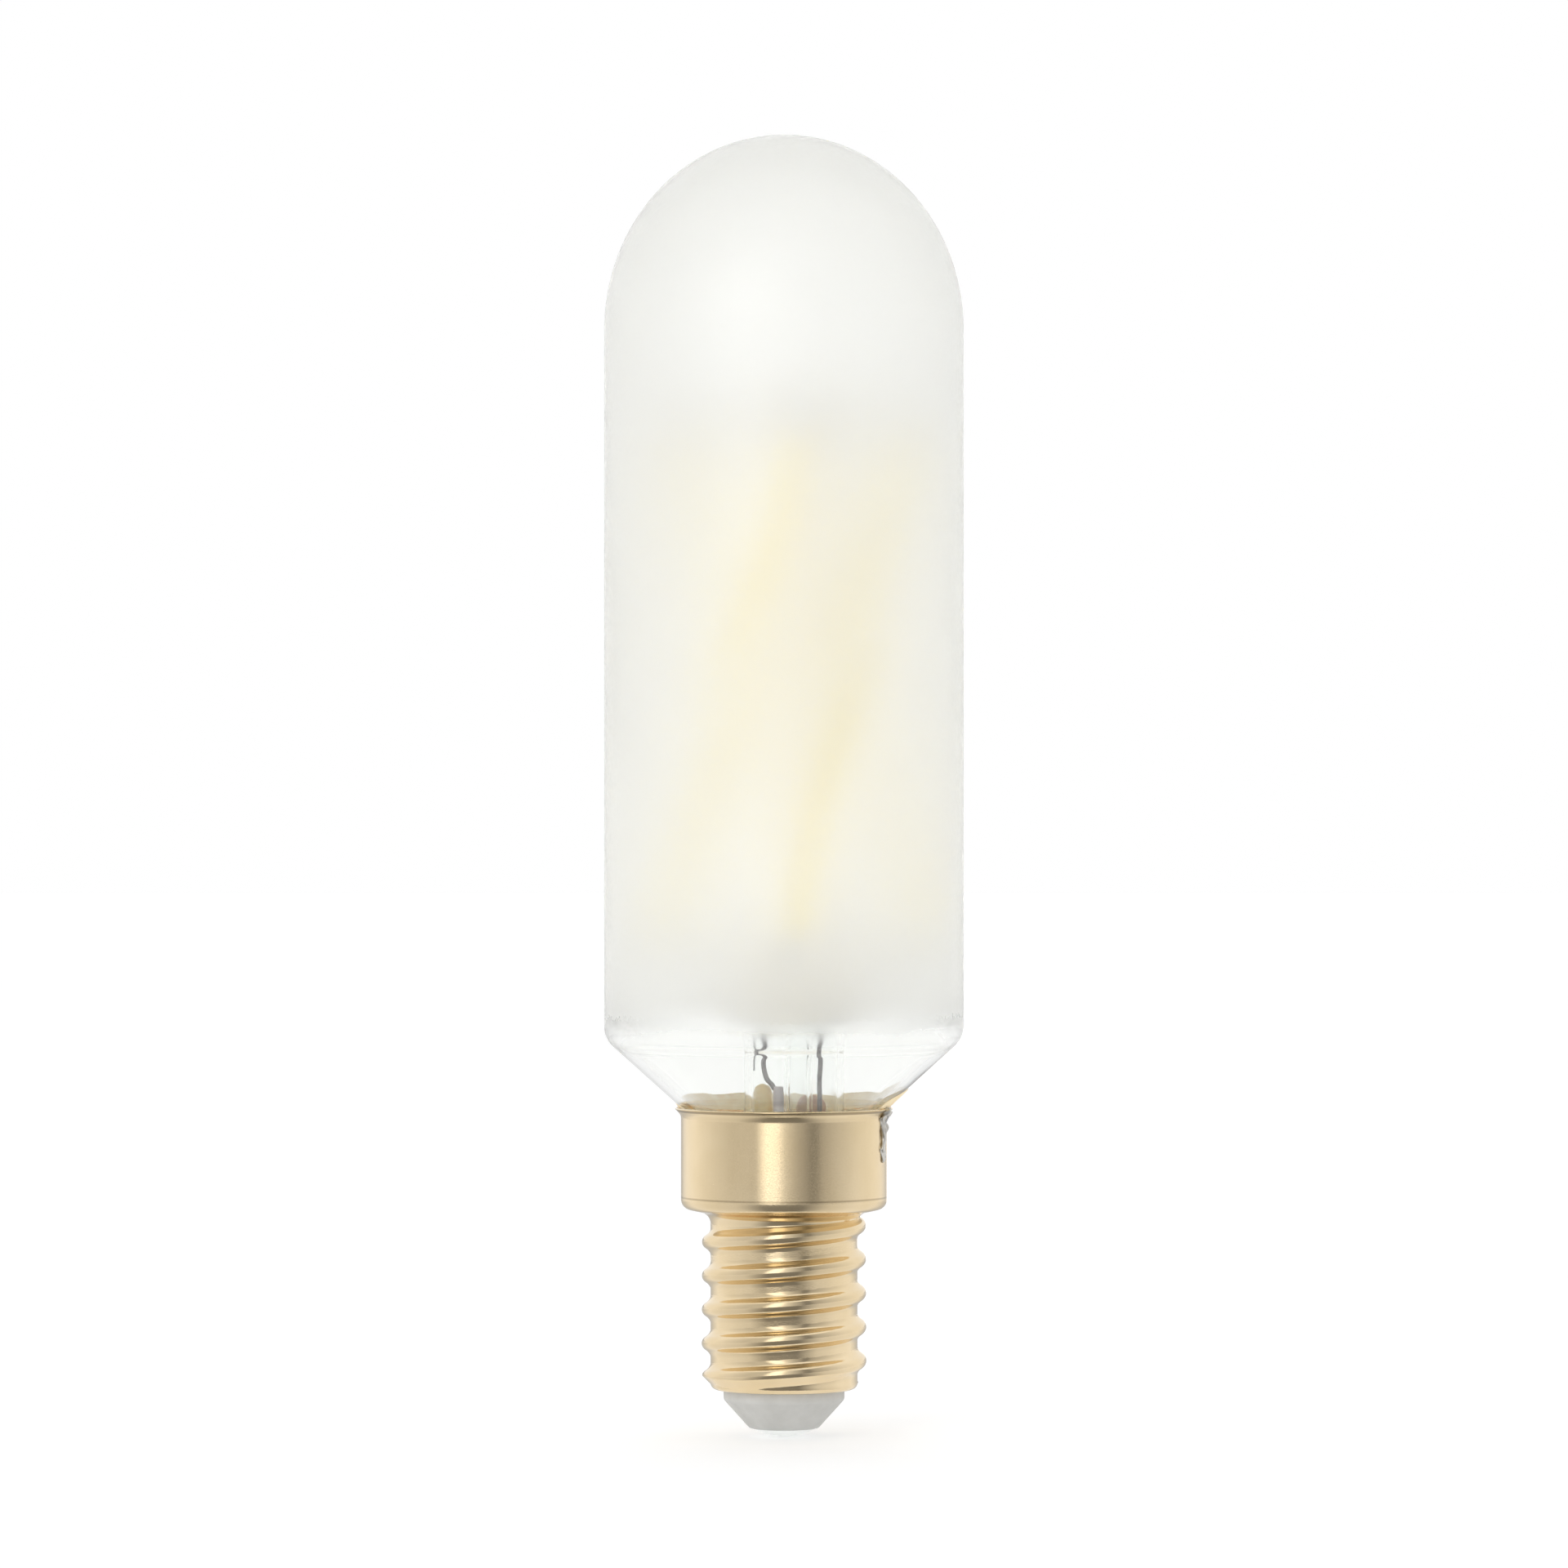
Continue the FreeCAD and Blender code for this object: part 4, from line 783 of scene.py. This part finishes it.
# Sleeves: a soft tube pushed over each lead and cut off square, whose outside is a little pinched
for side, (x, y, top) in sleeve["places"].items():
    inner, outer = sleeve["bore"], sleeve["radius"]
    wall = np.array([(inner, sleeve["foot"]), (outer, sleeve["foot"]), (outer, top), (inner, top),
                     (inner, sleeve["foot"])])
    tube = turnedGrid(evenly(wall, 90), 32)
    outward = np.interp(np.hypot(tube[..., 0], tube[..., 1]), sleeve["pinchFromTo"], [0, 1])
    tube[..., :2] *= 1 - sleeve["pinch"] * (outward * (0.5 + lumps(tube, 1.8, 23)))[..., None]
    tube += np.array([x, y, 0])
    sleevePiece = makePiece(f"leadSleeve{side.title()}", [(tube, True, 0)], [materials["sleeve"]])
    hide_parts(f"lead_sleeve_{side}")
print("choke, disc and sleeves made")


studio = {"worldDiffuse": 0.80, "softboxPower": 1.6, "softboxAzimuth": -35.0, "softboxDistance": 0.9,
          "softboxHeight": 0.35, "softboxTilt": 78.0, "softboxSize": (0.60, 0.60),
          "floorSize": 3.0, "floorZ": -0.0001, "floorColour": (0.93, 0.93, 0.93, 1.0), "floorGlow": 0.24,
          "drumRadius": 0.22, "drumFoot": 0.001, "drumTop": 0.32,
          "backPaperRadius": 0.215, "backPaperTop": 0.0265, "backPaperArc": (135, 225),
          "floorPaperRadius": 0.011, "floorPaperZ": -0.00005}
# Brightness of the paper round the lamp, by the turn from the camera's side to the right, in degrees
paperLevels = ((-180, 1.0), (-115, 1.0), (-100, 0.90), (-57, 0.64), (-30, 0.60), (-24, 1.25), (-18, 1.68),
               (-7, 1.52), (1, 0.86), (14, 0.55), (24, 0.38), (29, 0.26), (36, 0.26), (43, 0.44),
               (57, 0.57), (92, 0.86), (120, 1.0), (180, 1.0))
# The same for the low paper behind the lamp, which stands no higher than the brass
backPaperLevels = ((-180, 1.3), (-174, 0.9), (-168, 0.50), (-160, 0.55), (-150, 0.85), (-138, 1.0),
                   (138, 1.0), (150, 0.80), (158, 0.60), (164, 0.75), (169, 1.3), (175, 1.7), (180, 1.3))
# The same for the paper on the floor, which is dark towards the camera
floorPaperLevels = ((-180, 0.7), (-165, 0.5), (-150, 0.6), (-125, 0.95), (-90, 0.85), (-52, 0.70),
                    (-22, 0.24), (20, 0.20), (50, 0.70), (90, 0.9), (125, 0.95), (150, 0.6), (165, 0.5),
                    (180, 0.7))


# White all round, a little lower for the light that falls on the object than for what it is seen against
def studioWorld():
    world = bpy.data.worlds.new("studio")
    bpy.context.scene.world = world
    world.use_nodes = True
    tree = world.node_tree
    back = tree.nodes["Background"]
    ways = tree.nodes.new("ShaderNodeLightPath")
    plain = addNode(tree, "ShaderNodeMix", data_type="RGBA")
    level = studio["worldDiffuse"]
    plain.inputs["A"].default_value = white
    plain.inputs["B"].default_value = (level, level, level, 1.0)
    tree.links.new(ways.outputs["Is Diffuse Ray"], plain.inputs["Factor"])
    tree.links.new(plain.outputs["Result"], back.inputs["Color"])
    back.inputs["Strength"].default_value = 1.0


# Paper that is seen only in the lamp's mirroring surfaces: each ring of the profile (radius, z) is
# x = radius sin t, y = -radius cos t, and its brightness follows the turn t
def studioPaper(name, profile, levels, arc=(-180, 180)):
    t = np.linspace(*np.radians(arc), 181)
    rings = [np.column_stack([radius * np.sin(t), -radius * np.cos(t), np.full(len(t), z)])
             for radius, z in profile]
    mesh = bpy.data.meshes.new(name)
    quads = gridQuads(len(profile), len(t), False)
    mesh.from_pydata(np.concatenate(rings).tolist(), [], quads.tolist())
    paper = bpy.data.objects.new(name, mesh)
    bpy.context.scene.collection.objects.link(paper)
    material, tree, shader = newMaterial(name, Roughness=1.0, Emission_Strength=1.0)
    shader.inputs["Base Color"].default_value = (0, 0, 0, 1)
    place = placeOf(tree)
    turned = reckon(tree, "ARCTAN2", place["X"], reckon(tree, "MULTIPLY", place["Y"], -1))
    share = spread(tree, turned, -math.pi, math.pi, 0, 1)
    stops = [(0.5 + degrees / 360, (level, level, level)) for degrees, level in levels]
    tree.links.new(colours(tree, share, stops), shader.inputs["Emission Color"])
    mesh.materials.append(material)
    paper.visible_camera = paper.visible_shadow = False
    paper.visible_diffuse = paper.visible_transmission = False


# Pale floor that takes the lamp's shadow and glows a little where it is seen, mirrored or seen through
def studioFloor():
    size, z = studio["floorSize"], studio["floorZ"]
    mesh = bpy.data.meshes.new("studioFloor")
    corners = [(-size, -size, z), (size, -size, z), (size, size, z), (-size, size, z)]
    mesh.from_pydata(corners, [], [(0, 1, 2, 3)])
    floor = bpy.data.objects.new("studioFloor", mesh)
    bpy.context.scene.collection.objects.link(floor)
    material, tree, shader = newMaterial("pale floor", Roughness=0.9, Emission_Color=white)
    shader.inputs["Base Color"].default_value = studio["floorColour"]
    ways = tree.nodes.new("ShaderNodeLightPath").outputs
    seen = reckon(tree, "MAXIMUM", ways["Is Camera Ray"], ways["Is Glossy Ray"])
    seen = reckon(tree, "MAXIMUM", seen, ways["Is Transmission Ray"])
    glow = reckon(tree, "MULTIPLY", seen, studio["floorGlow"])
    tree.links.new(glow, shader.inputs["Emission Strength"])
    mesh.materials.append(material)


# Soft light to the left of the camera, at x = away sin a, y = -away cos a, tilted down at the lamp
def studioLamp():
    azimuth = math.radians(studio["softboxAzimuth"])
    away = studio["softboxDistance"]
    lamp = bpy.data.lights.new("softbox", "AREA")
    lamp.shape = "RECTANGLE"
    lamp.size, lamp.size_y = studio["softboxSize"]
    lamp.energy = studio["softboxPower"]
    holder = bpy.data.objects.new("softbox", lamp)
    bpy.context.scene.collection.objects.link(holder)
    holder.location = (away * math.sin(azimuth), -away * math.cos(azimuth), studio["softboxHeight"])
    holder.rotation_euler = (math.radians(studio["softboxTilt"]), 0, azimuth)


studioWorld()
studioFloor()
far, near = studio["drumRadius"], studio["backPaperRadius"]
studioPaper("paperDrum", ((far, studio["drumFoot"]), (far, studio["drumTop"])), paperLevels)
studioPaper("paperBehind", ((near, studio["drumFoot"]), (near, studio["backPaperTop"])), backPaperLevels,
            studio["backPaperArc"])
low = studio["floorPaperZ"]
studioPaper("paperFloor", ((studio["floorPaperRadius"], low), (far, low)), floorPaperLevels)
studioLamp()

view = {"lens": 165, "sensor": 36, "nearest": 0.01, "away": 0.6, "height": 0.0544}
# Level view from the front
camera = bpy.data.cameras.new("camera")
camera.lens = view["lens"]
camera.sensor_width = view["sensor"]
camera.clip_start = view["nearest"]
cameraHolder = bpy.data.objects.new("camera", camera)
cameraHolder.location = (0, -view["away"], view["height"])
cameraHolder.rotation_euler = (math.radians(90), 0, 0)
bpy.context.scene.collection.objects.link(cameraHolder)
bpy.context.scene.camera = cameraHolder
bpy.context.scene.view_settings.view_transform = "Standard"
# Enough bounces for the light that passes between the frosted walls
cycles = bpy.context.scene.cycles
cycles.max_bounces = cycles.transmission_bounces = cycles.glossy_bounces = 20
cycles.diffuse_bounces = 10
print("studio made")
